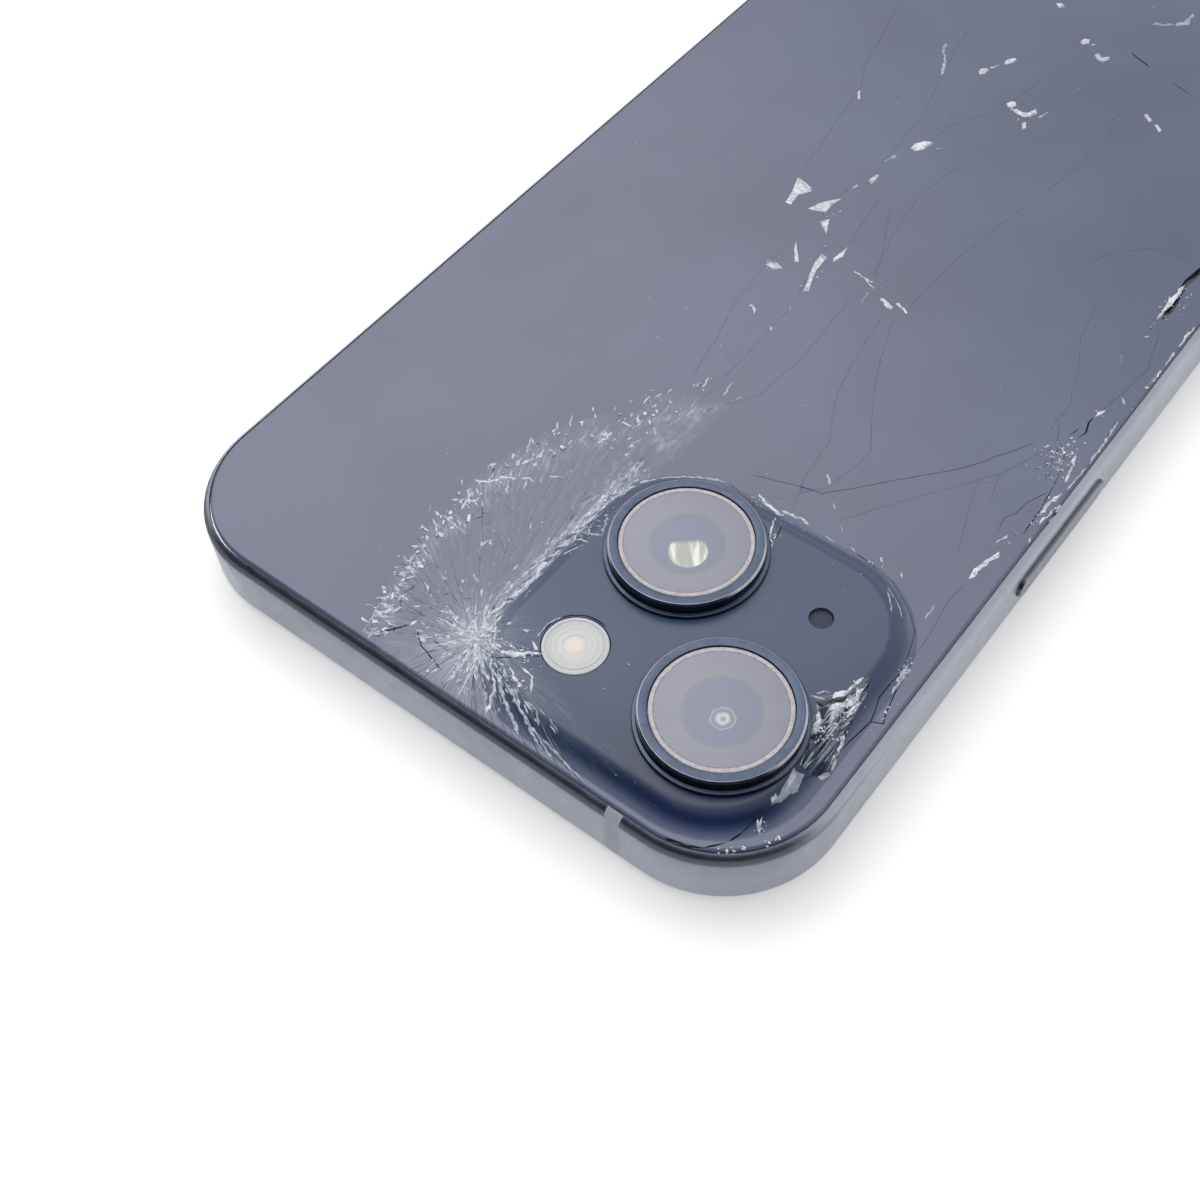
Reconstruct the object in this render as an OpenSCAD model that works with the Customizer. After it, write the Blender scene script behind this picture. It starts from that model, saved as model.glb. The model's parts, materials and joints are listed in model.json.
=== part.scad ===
// Slim phone lying on its screen, with a shattered glass back.
// Frame: +X to the right and +Y towards the top end when the back is seen from above, +Z up out of
// the back. Z = 0 is the outer face of the screen glass, and the origin is at the middle of it.

/* [Body] */
// Width across the band
body_w = 71.5; // [68:0.5:90]
// Length from the top end to the bottom end
body_l = 146.7; // [140:0.5:180]
// Thickness from screen glass to back glass
body_t = 7.8; // [7.6:0.1:10]
// Radius of the corners, seen from above
corner_r = 11.9; // [9.5:0.1:14.5]
// Thickness of the aluminium band, with its ledges
band_wall = 2.4; // [2:0.1:3]
// Width of the band's rim beside each glass
rim_w = 0.72; // [0.6:0.02:0.9]
// Rounding of the band's long edges
band_edge_r = 1.2; // [0.9:0.1:1.5]
// How far each glass stands proud of the band
glass_proud = 0.1; // [0.05:0.05:0.2]
// Thickness of the plate across the middle of the frame
midplate_t = 0.4; // [0.3:0.05:0.6]

/* [Back glass] */
// Thickness of the back glass outside the camera plateau
back_glass_t = 0.6; // [0.5:0.05:0.8]
// Height of the camera plateau above the back
plateau_h = 1.5; // [1.2:0.1:1.8]
// Size of the plateau's flat top, across the body
plateau_w = 30.0; // [28:0.5:33]
// Size of the plateau's flat top, along the body
plateau_l = 29.8; // [28:0.5:33]
// Width of the sloping flank around the plateau
plateau_flank = 2.0; // [1.6:0.1:2.4]
// Corner radius of the plateau's flat top
plateau_r = 8.0; // [7:0.5:9]
// Plateau centre from the body's camera side
plateau_side = 19.25; // [18.5:0.25:22]
// Plateau centre from the body's top end
plateau_top = 18.25; // [18:0.25:21]
// Width of the cracks cut in the glass
crack_w = 0.08; // [0.05:0.01:0.15]
// Depth of the cracks, which stop at the film that holds the pieces
crack_depth = 0.45; // [0.3:0.05:0.5]

/* [Cameras] */
// Wide camera from the plateau centre, across and along the body
wide_at = [-6.7, 5.7];
// Main camera from the plateau centre, across and along the body
main_at = [6.25, -7.05];
// Flash from the plateau centre, across and along the body
flash_at = [8.0, 7.3];
// Microphone from the plateau centre, across and along the body
rear_mic_at = [-7.9, -8.0];
// Outer radius of a lens ring
ring_r = 7.36; // [6.8:0.02:7.5]
// Height of a lens ring above the plateau
ring_h = 1.6; // [1.2:0.1:2]
// Radius of a lens window
window_r = 6.3; // [5.8:0.05:6.5]
// Width of a camera's square housing
camera_w = 12.0; // [10:0.25:12.25]
// Radius of the flash window
flash_r = 3.07; // [2.6:0.01:3.4]
// Radius of the rear microphone hole
rear_mic_r = 1.15; // [0.9:0.05:1.3]
// Focus travel of the main camera's lens barrel
focus_travel = 0.25; // [0.1:0.05:0.3]

/* [Buttons] */
// Length of the power button on the camera side
side_button_l = 16.4; // [14:0.2:20]
// Power button centre from the top end
side_button_from_top = 51.0; // [48:0.5:54]
// Length of a volume button
volume_button_l = 10.0; // [8:0.2:12]
// Upper volume button centre from the top end
volume_up_from_top = 44.5; // [43:0.5:46]
// Lower volume button centre from the top end
volume_down_from_top = 58.0; // [58:0.5:61]
// Ring switch centre from the top end
ring_switch_from_top = 32.0; // [31:0.5:33]
// Height of the buttons across the band
button_h = 2.5; // [2.2:0.1:2.8]
// How far the buttons stand out of the band
button_proud = 0.35; // [0.3:0.05:0.5]
// Travel of a button
button_travel = 0.25; // [0.2:0.05:0.3]
// Travel of the ring switch, towards the screen
ring_switch_travel = 1.1; // [0.8:0.1:1.2]

/* [Tray and sockets] */
// Width of the card tray along the band
tray_w = 13.2; // [12.8:0.1:16]
// Depth of the card tray into the body
tray_depth = 15.0; // [13:0.5:16]
// Card tray centre from the top end
tray_from_top = 79.0; // [77:0.5:82]
// Width of the charging socket
port_w = 8.4; // [7.6:0.1:9]
// Height of the charging socket
port_h = 2.8; // [2.6:0.1:3]
// Radius of the sound holes in the bottom end
sound_hole_r = 0.8; // [0.6:0.05:0.9]
// Number of sound holes on each side of the socket
sound_holes = 5; // [4:1:6]

/* [Inside] */
// Width of the main board
board_w = 19.2; // [16:0.2:24]
// Thickness of the main board
board_t = 0.7; // [0.5:0.05:0.9]
// Length of the room at the bottom end for speaker and haptics
bottom_room = 24.5; // [24:0.5:27]
// Outer radius of the charging coil
coil_r = 21.0; // [18:0.5:22]
// Outer radius of the ring of magnets
magnet_ring_r = 27.0; // [26:0.5:28]
// Number of magnets in the ring
magnets = 18; // [12:1:24]
// Length of the moving mass in the haptic engine
haptic_mass_l = 25.0; // [20:0.5:27]
// Travel of the haptic mass each way from rest
haptic_travel = 0.8; // [0.4:0.1:1]

/* [Hidden] */
$fn = 72;
skew = 0.01;               // overlap that joins two solids of one piece
fit_gap = 0.1;             // clearance around a piece that slides or drops in
glass_gap = 0.06;          // line between each glass and the band
lead = 0.3;                // free space kept in front of a moving piece

// Heights, from the screen upwards
band_z0 = glass_proud;
band_z1 = body_t - glass_proud;
screen_glass_t = 0.7;
panel_t = 0.9;
screen_seal_t = 0.12;
front_ledge_z = screen_glass_t + panel_t + screen_seal_t;
back_plate_t = 0.2;
back_seal_t = 0.12;
back_glass_z = body_t - back_glass_t;
back_plate_z = back_glass_z - back_plate_t;
back_ledge_z = back_plate_z - back_seal_t;
coil_room = 0.55;
midplate_z1 = back_plate_z - coil_room;
midplate_z0 = midplate_z1 - midplate_t;
mid_z = body_t / 2;
plateau_z = body_t + plateau_h;
ring_z = plateau_z + ring_h;
inside_z0 = front_ledge_z + 0.28;   // lowest level of what is mounted inside

// Plan
half_w = body_w / 2;
half_l = body_l / 2;
inner_x = half_w - band_wall;
inner_y = half_l - band_wall;
inner_r = corner_r - band_wall;
glass_inset = rim_w + glass_gap;
glass_w = body_w - 2 * glass_inset;
glass_l = body_l - 2 * glass_inset;
glass_r = corner_r - glass_inset;
plateau_x = -half_w + plateau_side;
plateau_y = half_l - plateau_top;
wide_xy = [plateau_x, plateau_y] + wide_at;
main_xy = [plateau_x, plateau_y] + main_at;
flash_xy = [plateau_x, plateau_y] + flash_at;
rear_mic_xy = [plateau_x, plateau_y] + rear_mic_at;
side_button_y = half_l - side_button_from_top;
volume_up_y = half_l - volume_up_from_top;
volume_down_y = half_l - volume_down_from_top;
ring_switch_y = half_l - ring_switch_from_top;
tray_y = half_l - tray_from_top;

// Cameras
tube_r = 6.5;              // lens ring's tube through the glass
flange_r = ring_r + 0.4;   // lens ring's foot on the plateau
flange_t = 0.4;
window_t = 0.7;
window_sink = 0.1;         // lens window below the top of its ring
barrel_r = 4.3;
aperture_r = 5.0;          // bore of the lens ring under its window
housing_corner_r = 1.2;
housing_z0 = inside_z0 + 0.15;
housing_z1 = back_plate_z - 0.1;
window_z = ring_z - window_sink - window_t;
barrel_z1 = window_z - lead - focus_travel;
barrel_z0 = housing_z0 + 1.2;
flash_case_r = flash_r + 0.3;

// Buttons, tray and switches
switch_t = 0.8;            // switches on the inner face of the band
flange_in = 0.5;           // inner flange that keeps a button in its slot
flange_t_in = 0.35;
switch_x = inner_x - flange_t_in - button_travel - 0.1;
ring_lever_l = 5.8;
ring_lever_h = 1.5;
ring_slot_h = ring_lever_h + ring_switch_travel + 2 * fit_gap;
tray_face_t = 1.0;
tray_face_h = 2.2;
tray_t = 1.2;
tray_gap = 0.15;
card = [8.8, 12.3];        // card pocket, across and along the body
reader_wall = 0.2;
reader_h = tray_t + 2 * (reader_wall + tray_gap);

// Boards and battery
board_x1 = inner_x - 1.75;
board_x0 = board_x1 - board_w;
board_z1 = midplate_z0 - 0.35;
board_z0 = board_z1 - board_t;
board_y1 = half_l - 18.3;
board_foot_y = half_l - 33.8;
room_y = -inner_y + bottom_room;
board_y0 = room_y + 12.5;
board_foot_x = main_xy[0] + camera_w / 2 + 1.4;
tray_clear = 1.0;
reader_x1 = inner_x - tray_clear;
tray_x0 = half_w - tray_depth;
reader_x0 = tray_x0 - tray_clear;
battery_x0 = -inner_x + 1.7;
battery_x1 = board_x0 - 1.0;
battery_y0 = room_y + 0.9;
battery_y1 = min(board_foot_y - 1, main_xy[1] - camera_w / 2 - 1.5);
battery_z1 = midplate_z0 - 0.1;
board_holes = [
    [board_x0 + 2, board_y0 + 2],
    [board_x1 - 2, board_y0 + 2],
    [board_x0 + 2, board_y1 - 2],
    [board_x1 - 2, board_y1 - 2],
    [board_foot_x + 2, board_y1 - 2],
];
post_r = 1.3;
screw_r = 0.6;
screw_head_r = 1.1;
screw_head_t = 0.4;

// Bottom end
port_depth = 7.0;
port_wall = 0.45;
hole_pitch = 2.1;
hole_first_x = 10.2;
end_screw_x = port_w / 2 + 2.6;
end_screw_head_r = 0.85;
end_screw_r = 0.5;
end_screw_sink = 0.2;
end_screw_head_t = 0.7;
end_screw_l = 4.2;

// Haptic engine
haptic_wall = 0.25;
haptic_spring_l = haptic_travel + 2.8;
haptic_l = haptic_mass_l + 2 * (haptic_spring_l + haptic_wall);
haptic_w = 10.5;
haptic_x1 = inner_x - 2.6;
haptic_x0 = haptic_x1 - haptic_l;
haptic_y0 = room_y - 1.5 - haptic_w;
haptic_z0 = inside_z0 + 0.1;
haptic_z1 = midplate_z0 - 0.25;

// ---- Shared shapes ----

// A flat rectangle with round corners, centred
module round_rect(w, l, r) {
    square([w - 2 * r, l], center = true);
    square([w, l - 2 * r], center = true);
    for (sx = [-1, 1], sy = [-1, 1])
        translate([sx * (w / 2 - r), sy * (l / 2 - r)])
            circle(r);
}

// A round-cornered plate between two heights
module plate(w, l, r, z0, z1) {
    translate([0, 0, z0])
        linear_extrude(z1 - z0)
            round_rect(w, l, r);
}

// A box given by its ranges
module box(x, y, z) {
    translate([x[0], y[0], z[0]])
        cube([x[1] - x[0], y[1] - y[0], z[1] - z[0]]);
}

// A disc or post between two heights
module disc(at, r, z0, z1) {
    translate([at[0], at[1], z0])
        cylinder(r = r, h = z1 - z0);
}

// A ring between two heights
module ring(at, r, hole_r, z0, z1) {
    difference() {
        disc(at, r, z0, z1);
        disc(at, hole_r, z0 - 1, z1 + 1);
    }
}

// A profile swept round a round-cornered rectangle. The children are drawn with X as the distance
// in from the outline and Y as the height.
module rim(w, l, r) {
    for (i = [0:3]) {
        side = i % 2 == 0 ? l : w;
        reach = i % 2 == 0 ? w / 2 : l / 2;
        rotate(90 * i) {
            translate([reach, -side / 2 + r, 0])
                rotate([90, 0, 180])
                    linear_extrude(side - 2 * r)
                        children();
            translate([reach - r, side / 2 - r, 0])
                rotate_extrude(angle = 90)
                    translate([r, 0])
                        mirror([1, 0])
                            children();
        }
    }
}

// A slot with round ends through the band's long side: along Y, across Z, from x0 to x1
module side_pill(y, l, z, h, x0, x1) {
    translate([x0, y, z])
        rotate([90, 0, 90])
            linear_extrude(x1 - x0)
                pill(l, h);
}

// The same through the bottom end: along X, across Z, from y0 to y1
module end_pill(x, l, z, h, y0, y1) {
    translate([x, y1, z])
        rotate([90, 0, 0])
            linear_extrude(y1 - y0)
                pill(l, h);
}

// A flat shape with round ends
module pill(l, h) {
    square([l - h, h], center = true);
    for (s = [-1, 1])
        translate([s * (l - h) / 2, 0])
            circle(h / 2);
}

// A round rod along Y from y0 to y1
module rod_y(x, z, r, y0, y1) {
    translate([x, y1, z])
        rotate([90, 0, 0])
            cylinder(r = r, h = y1 - y0);
}

// ---- Frame ----

// Section of the band: round outer edges, a rim beside each glass and a ledge under it
module band_section() {
    intersection() {
        translate([0, band_z0])
            square([rim_w, band_z1 - band_z0]);
        union() {
            translate([0, band_z0 + band_edge_r])
                square([rim_w, band_z1 - band_z0 - 2 * band_edge_r]);
            for (z = [band_z0 + band_edge_r, band_z1 - band_edge_r])
                translate([band_edge_r, z])
                    circle(band_edge_r);
        }
    }
    translate([rim_w - skew, front_ledge_z])
        square([band_wall - rim_w + skew, back_ledge_z - front_ledge_z]);
}

// The plastic breaks that split the band into antennas: [side, place along it], with side 0 for
// the top end, 1 for the -X side, 2 for the bottom end and 3 for the +X side
break_w = 1.6;
break_at = [
    [0, plateau_x - 4.3],
    [1, -half_l + 15],
    [2, half_w - 12.9],
    [3, -half_l + 15],
    [3, half_l - 15],
];

module break_slabs() {
    depth = band_wall + 1;
    for (b = break_at) {
        sign = b[0] == 0 || b[0] == 3 ? 1 : -1;
        if (b[0] % 2 == 0)
            translate([b[1], sign * (inner_y + depth / 2), mid_z])
                cube([break_w, depth, body_t], center = true);
        else
            translate([sign * (inner_x + depth / 2), b[1], mid_z])
                cube([depth, break_w, body_t], center = true);
    }
}

module antenna_breaks() {
    color([0.36, 0.38, 0.43])
        intersection() {
            rim(body_w, body_l, corner_r)
                band_section();
            break_slabs();
        }
}

// Openings in the plate across the middle
module midplate_openings() {
    camera_hole = camera_w / 2 + 0.35;
    for (c = [wide_xy, main_xy])
        translate([c[0], c[1], midplate_z0])
            cube([2 * camera_hole, 2 * camera_hole, 3 * midplate_t], center = true);
    disc(flash_xy, flash_case_r + 0.5, midplate_z0 - 1, midplate_z1 + 1);
    disc(rear_mic_xy, 2.4, midplate_z0 - 1, midplate_z1 + 1);
}

module end_holes() {
    for (s = [-1, 1], i = [0:sound_holes - 1])
        rod_y(s * (hole_first_x + i * hole_pitch), mid_z, sound_hole_r, -half_l - 1, -inner_y + 1);
    for (s = [-1, 1]) {
        rod_y(s * end_screw_x, mid_z, end_screw_r + 0.05, -half_l - 1, -inner_y + 1);
        rod_y(s * end_screw_x, mid_z, end_screw_head_r + 0.05,
            -half_l - 1, -half_l + end_screw_sink + end_screw_head_t);
    }
    end_pill(0, port_w, mid_z, port_h, -half_l - 1, -inner_y + 1);
}

module side_slots() {
    clear = 2 * fit_gap;
    button_slot_h = button_h + clear;
    side_pill(side_button_y, side_button_l + clear, mid_z, button_slot_h, -half_w - 1, -inner_x + 1);
    for (y = [volume_up_y, volume_down_y])
        side_pill(y, volume_button_l + clear, mid_z, button_slot_h, inner_x - 1, half_w + 1);
    translate([inner_x - 1, ring_switch_y, mid_z])
        rotate([90, 0, 90])
            linear_extrude(band_wall + 2)
                round_rect(ring_lever_l + clear, ring_slot_h, ring_lever_h / 2 + fit_gap);
    side_pill(tray_y, tray_w + clear, mid_z, tray_face_h + clear, inner_x - 1, half_w + 1);
}

module frame() {
    color([0.22, 0.24, 0.29])
        difference() {
            union() {
                rim(body_w, body_l, corner_r)
                    band_section();
                plate(2 * inner_x + 2 * skew, 2 * inner_y + 2 * skew, inner_r + skew,
                    midplate_z0, midplate_z1);
                for (h = board_holes)
                    disc(h, post_r, board_z1, midplate_z0 + skew);
            }
            break_slabs();
            midplate_openings();
            end_holes();
            side_slots();
            for (h = board_holes)
                disc(h, screw_r, board_z1 - 1, midplate_z1 + 1);
        }
}

// ---- Back ----

// Half of the plateau's flank: two equal arcs that meet in an S
flank_angle = 2 * atan(plateau_h / plateau_flank);
flank_r = plateau_flank / (2 * sin(flank_angle));

module plateau_section() {
    mid = [plateau_flank / 2, plateau_h / 2];
    difference() {
        union() {
            polygon([
                [0, -back_glass_t / 2], [plateau_flank + 1, -back_glass_t / 2],
                [plateau_flank + 1, plateau_h], [plateau_flank, plateau_h], mid, [0, 0],
            ]);
            intersection() {
                translate([plateau_flank, plateau_h - flank_r])
                    circle(flank_r);
                translate([0, mid[1]])
                    square([plateau_flank, plateau_h]);
            }
        }
        translate([0, flank_r])
            circle(flank_r);
    }
}

module plateau() {
    base_w = plateau_w + 2 * plateau_flank;
    base_l = plateau_l + 2 * plateau_flank;
    base_r = plateau_r + plateau_flank;
    translate([plateau_x, plateau_y, 0]) {
        translate([0, 0, body_t])
            rim(base_w, base_l, base_r)
                plateau_section();
        plate(plateau_w - 1, plateau_l - 1, plateau_r - 0.5, body_t - back_glass_t / 2, plateau_z);
    }
}

// Cracks, each a run of straight stretches between points chosen by eye. Across is measured from
// the -X edge and along from the top end, both in millimetres and never negative.
cracks = [
    [[36, 7], [38, 15], [37, 26], [36, 36], [38.5, 44]],
    [[36, 7], [41, 5], [45.5, 2]],
    [[36, 7], [43, 14], [46.5, 21]],
    [[36, 7], [41, 20], [43, 30]],
    [[36.3, 44], [36.5, 52], [36.2, 60], [37.5, 67], [36.2, 74]],
    [[38.5, 44], [41.5, 56], [42, 64]],
    [[26.5, 36], [24, 50], [27.5, 68], [31, 66]],
    [[31, 66], [36.2, 68], [41.5, 73], [41, 82], [38.5, 88]],
    [[41.5, 73], [46.5, 76], [49, 92]],
    [[38.5, 88], [40, 101], [44, 112]],
    [[38.5, 88], [31, 99], [33, 106]],
    [[3, 32], [3.2, 42], [2, 52], [3.5, 60], [6, 63], [6, 72], [9.7, 78]],
    [[6, 57], [9.5, 48], [15.5, 40]],
    [[3.5, 60], [2.5, 72], [4, 86]],
    [[5, 79], [4.6, 92]],
];

// One straight stretch of crack
module crack_stretch(a, b) {
    run = b - a;
    translate([(a[0] + b[0]) / 2, (a[1] + b[1]) / 2, body_t - crack_depth])
        rotate(atan2(run[1], run[0]))
            translate([-norm(run) / 2 - crack_w / 2, -crack_w / 2, 0])
                cube([norm(run) + crack_w, crack_w, crack_depth + plateau_h + 1]);
}

module cracks_cut() {
    for (line = cracks, i = [0:len(line) - 2])
        crack_stretch(crack_point(line[i]), crack_point(line[i + 1]));
}

function crack_point(p) = [p[0] - half_w, half_l - p[1]];

// Pieces that are gone: each outline in the same measure, and how deep the glass is lost
lost_chips = [
    [[[2.6, 12.9], [4.6, 12.7], [5.4, 15], [5.2, 17.4], [6.9, 18.8], [5.3, 20.2], [4.4, 23.2],
        [3.4, 20.5], [2.5, 16.5]], 0.5],
    [[[4.3, 78.5], [4.9, 78.8], [5.1, 84.5], [4.5, 86.5], [4.1, 84]], 0.5],
    [[[45.6, 71.8], [46.3, 72.3], [47, 76.2], [45, 75.5], [45.8, 74]], 0.2],
    [[[38.5, 87.5], [39.1, 87.7], [38.9, 88.8], [38.0, 89.4]], 0.2],
];

module lost_chips_cut() {
    for (chip = lost_chips)
        translate([0, 0, body_t - chip[1]])
            linear_extrude(plateau_h + 1 + chip[1])
                polygon([for (p = chip[0]) crack_point(p)]);
}

module back_glass() {
    color([0.36, 0.38, 0.46])
        difference() {
            union() {
                plate(glass_w, glass_l, glass_r, back_glass_z, body_t);
                plateau();
            }
            for (c = [wide_xy, main_xy])
                disc(c, tube_r + fit_gap, back_glass_z - 1, plateau_z + 1);
            disc(flash_xy, flash_r + fit_gap, back_glass_z - 1, plateau_z + 1);
            disc(rear_mic_xy, rear_mic_r, back_glass_z - 1, plateau_z + 1);
            cracks_cut();
            lost_chips_cut();
        }
}

// Steel plate bonded under the glass, open for the cameras and the coil
module back_plate() {
    camera_hole = camera_w / 2 + 0.6;
    coil_gap = 0.3;
    color([0.62, 0.63, 0.65])
        difference() {
            plate(glass_w, glass_l, glass_r, back_plate_z, back_glass_z);
            for (c = [wide_xy, main_xy])
                translate([c[0], c[1], back_plate_z])
                    cube([2 * camera_hole, 2 * camera_hole, 2], center = true);
            disc(flash_xy, flash_case_r + fit_gap, back_plate_z - 1, back_glass_z + 1);
            disc(rear_mic_xy, rear_mic_r, back_plate_z - 1, back_glass_z + 1);
            disc([0, 0], magnet_ring_r + coil_gap, back_plate_z - 1, back_glass_z + 1);
        }
}

module back_seal() {
    color([0.08, 0.08, 0.09])
        difference() {
            plate(glass_w, glass_l, glass_r, back_ledge_z, back_plate_z);
            plate(2 * inner_x, 2 * inner_y, inner_r, back_ledge_z - 1, back_plate_z + 1);
        }
}

coil_hole_r = 11.0;
coil_t = 0.32;
coil_turns = 11;

module charging_coil() {
    turn_pitch = (coil_r - coil_hole_r) / coil_turns;
    color([0.72, 0.42, 0.22])
        translate([0, 0, back_glass_z - coil_t])
            difference() {
                ring([0, 0], coil_r, coil_hole_r, 0, coil_t);
                for (i = [1:coil_turns - 1])
                    ring([0, 0], coil_hole_r + i * turn_pitch + 0.08,
                        coil_hole_r + i * turn_pitch - 0.08, -1, coil_t * 0.6);
            }
}

shield_t = 0.12;

module coil_shield() {
    color([0.25, 0.25, 0.27])
        disc([0, 0], coil_r + 1, back_glass_z - coil_t - shield_t, back_glass_z - coil_t);
}

module magnet_ring() {
    magnet_w = 3.4;
    magnet_t = 0.4;
    inner = magnet_ring_r - magnet_w;
    share = 0.9;
    step = 360 / magnets;
    color([0.74, 0.74, 0.76])
        for (i = [0:magnets - 1])
            translate([0, 0, back_glass_z - magnet_t])
                rotate(i * step)
                    rotate_extrude(angle = step * share)
                        translate([inner, 0])
                            square([magnet_w, magnet_t]);
}

// ---- Rear cameras ----

// Aluminium ring with a foot on the plateau and a tube through the glass
module lens_ring(at) {
    edge = 0.25;
    window_gap = 0.05;
    color([0.24, 0.27, 0.32])
        translate([at[0], at[1], 0])
            rotate_extrude()
                polygon([
                    [aperture_r, back_glass_z + 0.1], [tube_r, back_glass_z + 0.1],
                    [tube_r, plateau_z], [flange_r, plateau_z],
                    [flange_r, plateau_z + flange_t - 0.1], [flange_r - 0.1, plateau_z + flange_t],
                    [ring_r, plateau_z + flange_t], [ring_r, ring_z - edge],
                    [ring_r - edge, ring_z], [window_r + window_gap, ring_z],
                    [window_r + window_gap, window_z], [aperture_r, window_z],
                ]);
}

module wide_lens_ring() {
    lens_ring(wide_xy);
}

module main_lens_ring() {
    lens_ring(main_xy);
}

module lens_window(at) {
    bevel = 0.15;
    color([0.45, 0.45, 0.5, 0.6])
        translate([at[0], at[1], window_z])
            rotate_extrude()
                polygon([
                    [0, 0], [window_r, 0], [window_r, window_t - bevel],
                    [window_r - bevel, window_t], [0, window_t],
                ]);
}

module wide_lens_window() {
    lens_window(wide_xy);
}

module main_lens_window() {
    lens_window(main_xy);
}

// Square housing with a round well for the lens barrel and a chip floor
module camera_housing(at) {
    floor_t = 0.8;
    color([0.14, 0.14, 0.15])
        difference() {
            translate([at[0], at[1], 0])
                plate(camera_w, camera_w, housing_corner_r, housing_z0, housing_z1);
            disc(at, barrel_r + fit_gap, housing_z0 + floor_t, housing_z1 + 1);
        }
}

module wide_camera_housing() {
    camera_housing(wide_xy);
}

module main_camera_housing() {
    camera_housing(main_xy);
}

// Barrel with stepped stops around a front element of the given radius
module lens_barrel(at, front_r) {
    color([0.1, 0.1, 0.12])
        translate([at[0], at[1], 0])
            rotate_extrude()
                polygon([
                    [0, barrel_z0], [barrel_r, barrel_z0], [barrel_r, barrel_z1],
                    [front_r + 1.3, barrel_z1], [front_r + 1.0, barrel_z1 - 0.35],
                    [front_r + 0.4, barrel_z1 - 0.35], [front_r, barrel_z1 - 0.8],
                    [0, barrel_z1 - 0.5],
                ]);
}

module wide_lens_barrel() {
    lens_barrel(wide_xy, 1.2);
}

module main_lens_barrel() {
    lens_barrel(main_xy, 1.9);
}

// Steel tray under both camera housings, with a low wall round each
module camera_tray() {
    tray_floor_t = 0.15;
    lip = 0.35;
    lip_h = 1.2;
    color([0.55, 0.55, 0.57])
        difference() {
            union() {
                for (c = [wide_xy, main_xy])
                    translate([c[0], c[1], 0])
                        plate(camera_w + 2 * lip, camera_w + 2 * lip, housing_corner_r + lip,
                            housing_z0 - tray_floor_t, housing_z0 + lip_h);
                box([wide_xy[0], main_xy[0]], [main_xy[1], wide_xy[1]],
                    [housing_z0 - tray_floor_t, housing_z0]);
            }
            for (c = [wide_xy, main_xy])
                translate([c[0], c[1], 0])
                    plate(camera_w + 0.02, camera_w + 0.02, housing_corner_r,
                        housing_z0, housing_z0 + 2 * lip_h);
        }
}

module flash_window() {
    dome = 0.05;
    color([0.93, 0.93, 0.91])
        translate([flash_xy[0], flash_xy[1], 0])
            rotate_extrude()
                polygon([
                    [0, back_plate_z], [flash_case_r, back_plate_z],
                    [flash_case_r, back_glass_z], [flash_r, back_glass_z],
                    [flash_r, plateau_z + dome], [0, plateau_z + dome],
                ]);
}

module flash_lamp() {
    side = 4.2;
    color([0.9, 0.82, 0.55])
        translate([flash_xy[0], flash_xy[1], 0]) {
            translate([0, 0, midplate_z0 + 0.1 + 0.15])
                cube([side, side, 0.3], center = true);
            disc([0, 0], 1.5, midplate_z0 + 0.3, back_plate_z - 0.05);
        }
}

module rear_mic_mesh() {
    color([0.05, 0.05, 0.06])
        disc(rear_mic_xy, rear_mic_r - 0.02, plateau_z - 0.45, plateau_z - 0.3);
}

module rear_mic() {
    color([0.7, 0.66, 0.5])
        translate([rear_mic_xy[0], rear_mic_xy[1], 0])
            difference() {
                plate(3.6, 2.8, 0.3, back_plate_z - 0.85, back_plate_z - 0.05);
                disc([0, 0], 0.4, back_plate_z - 0.4, back_plate_z);
            }
}

// ---- Screen side ----

screen_frame_inset = glass_inset + 0.1;
panel_inset = 3.0;
panel_r = corner_r - panel_inset;
front_camera_xy = [9, half_l - 6.6];
front_camera_hole_r = 1.9;
ear_slot = [11.0, 0.7];
ear_slot_y = half_l - 1.85;

module ear_slot_cut(z0, z1) {
    translate([0, ear_slot_y, z0])
        linear_extrude(z1 - z0)
            pill(ear_slot[0], ear_slot[1]);
}

module screen_glass() {
    color([0.05, 0.05, 0.06])
        difference() {
            plate(glass_w, glass_l, glass_r, 0, screen_glass_t);
            ear_slot_cut(-1, screen_glass_t + 1);
        }
}

module screen_panel() {
    color([0.02, 0.02, 0.03])
        difference() {
            plate(body_w - 2 * panel_inset, body_l - 2 * panel_inset, panel_r,
                screen_glass_t, screen_glass_t + panel_t);
            disc(front_camera_xy, front_camera_hole_r + 0.3,
                screen_glass_t - 1, screen_glass_t + panel_t + 1);
        }
}

// Plastic frame round the panel, with two tabs that the end screws pull on
module screen_frame() {
    z0 = screen_glass_t;
    z1 = z0 + panel_t;
    tab_w = 2.4;
    tab_top = mid_z + 1.0;
    tab_y0 = band_wall + 0.15;
    tab_foot = panel_inset - 0.05;
    tab_y1 = band_wall + 2.0;
    color([0.1, 0.1, 0.11])
        difference() {
            union() {
                difference() {
                    plate(body_w - 2 * screen_frame_inset, body_l - 2 * screen_frame_inset,
                        corner_r - screen_frame_inset, z0, z1);
                    plate(body_w - 2 * tab_foot, body_l - 2 * tab_foot, corner_r - tab_foot,
                        z0 - 1, z1 + 1);
                }
                for (s = [-1, 1])
                    translate([s * end_screw_x - tab_w / 2, -half_l, 0])
                        rotate([90, 0, 90])
                            linear_extrude(tab_w)
                                polygon([
                                    [tab_y0, z1 - 0.2], [tab_foot, z1 - 0.2],
                                    [tab_foot, z1 + 0.05], [tab_y1, z1 + 0.05],
                                    [tab_y1, tab_top], [tab_y0, tab_top],
                                ]);
            }
            for (s = [-1, 1])
                rod_y(s * end_screw_x, mid_z, end_screw_r + 0.02, -half_l, -half_l + tab_y1 + 1);
            ear_slot_cut(z0 - 1, z1 + 1);
        }
}

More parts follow.
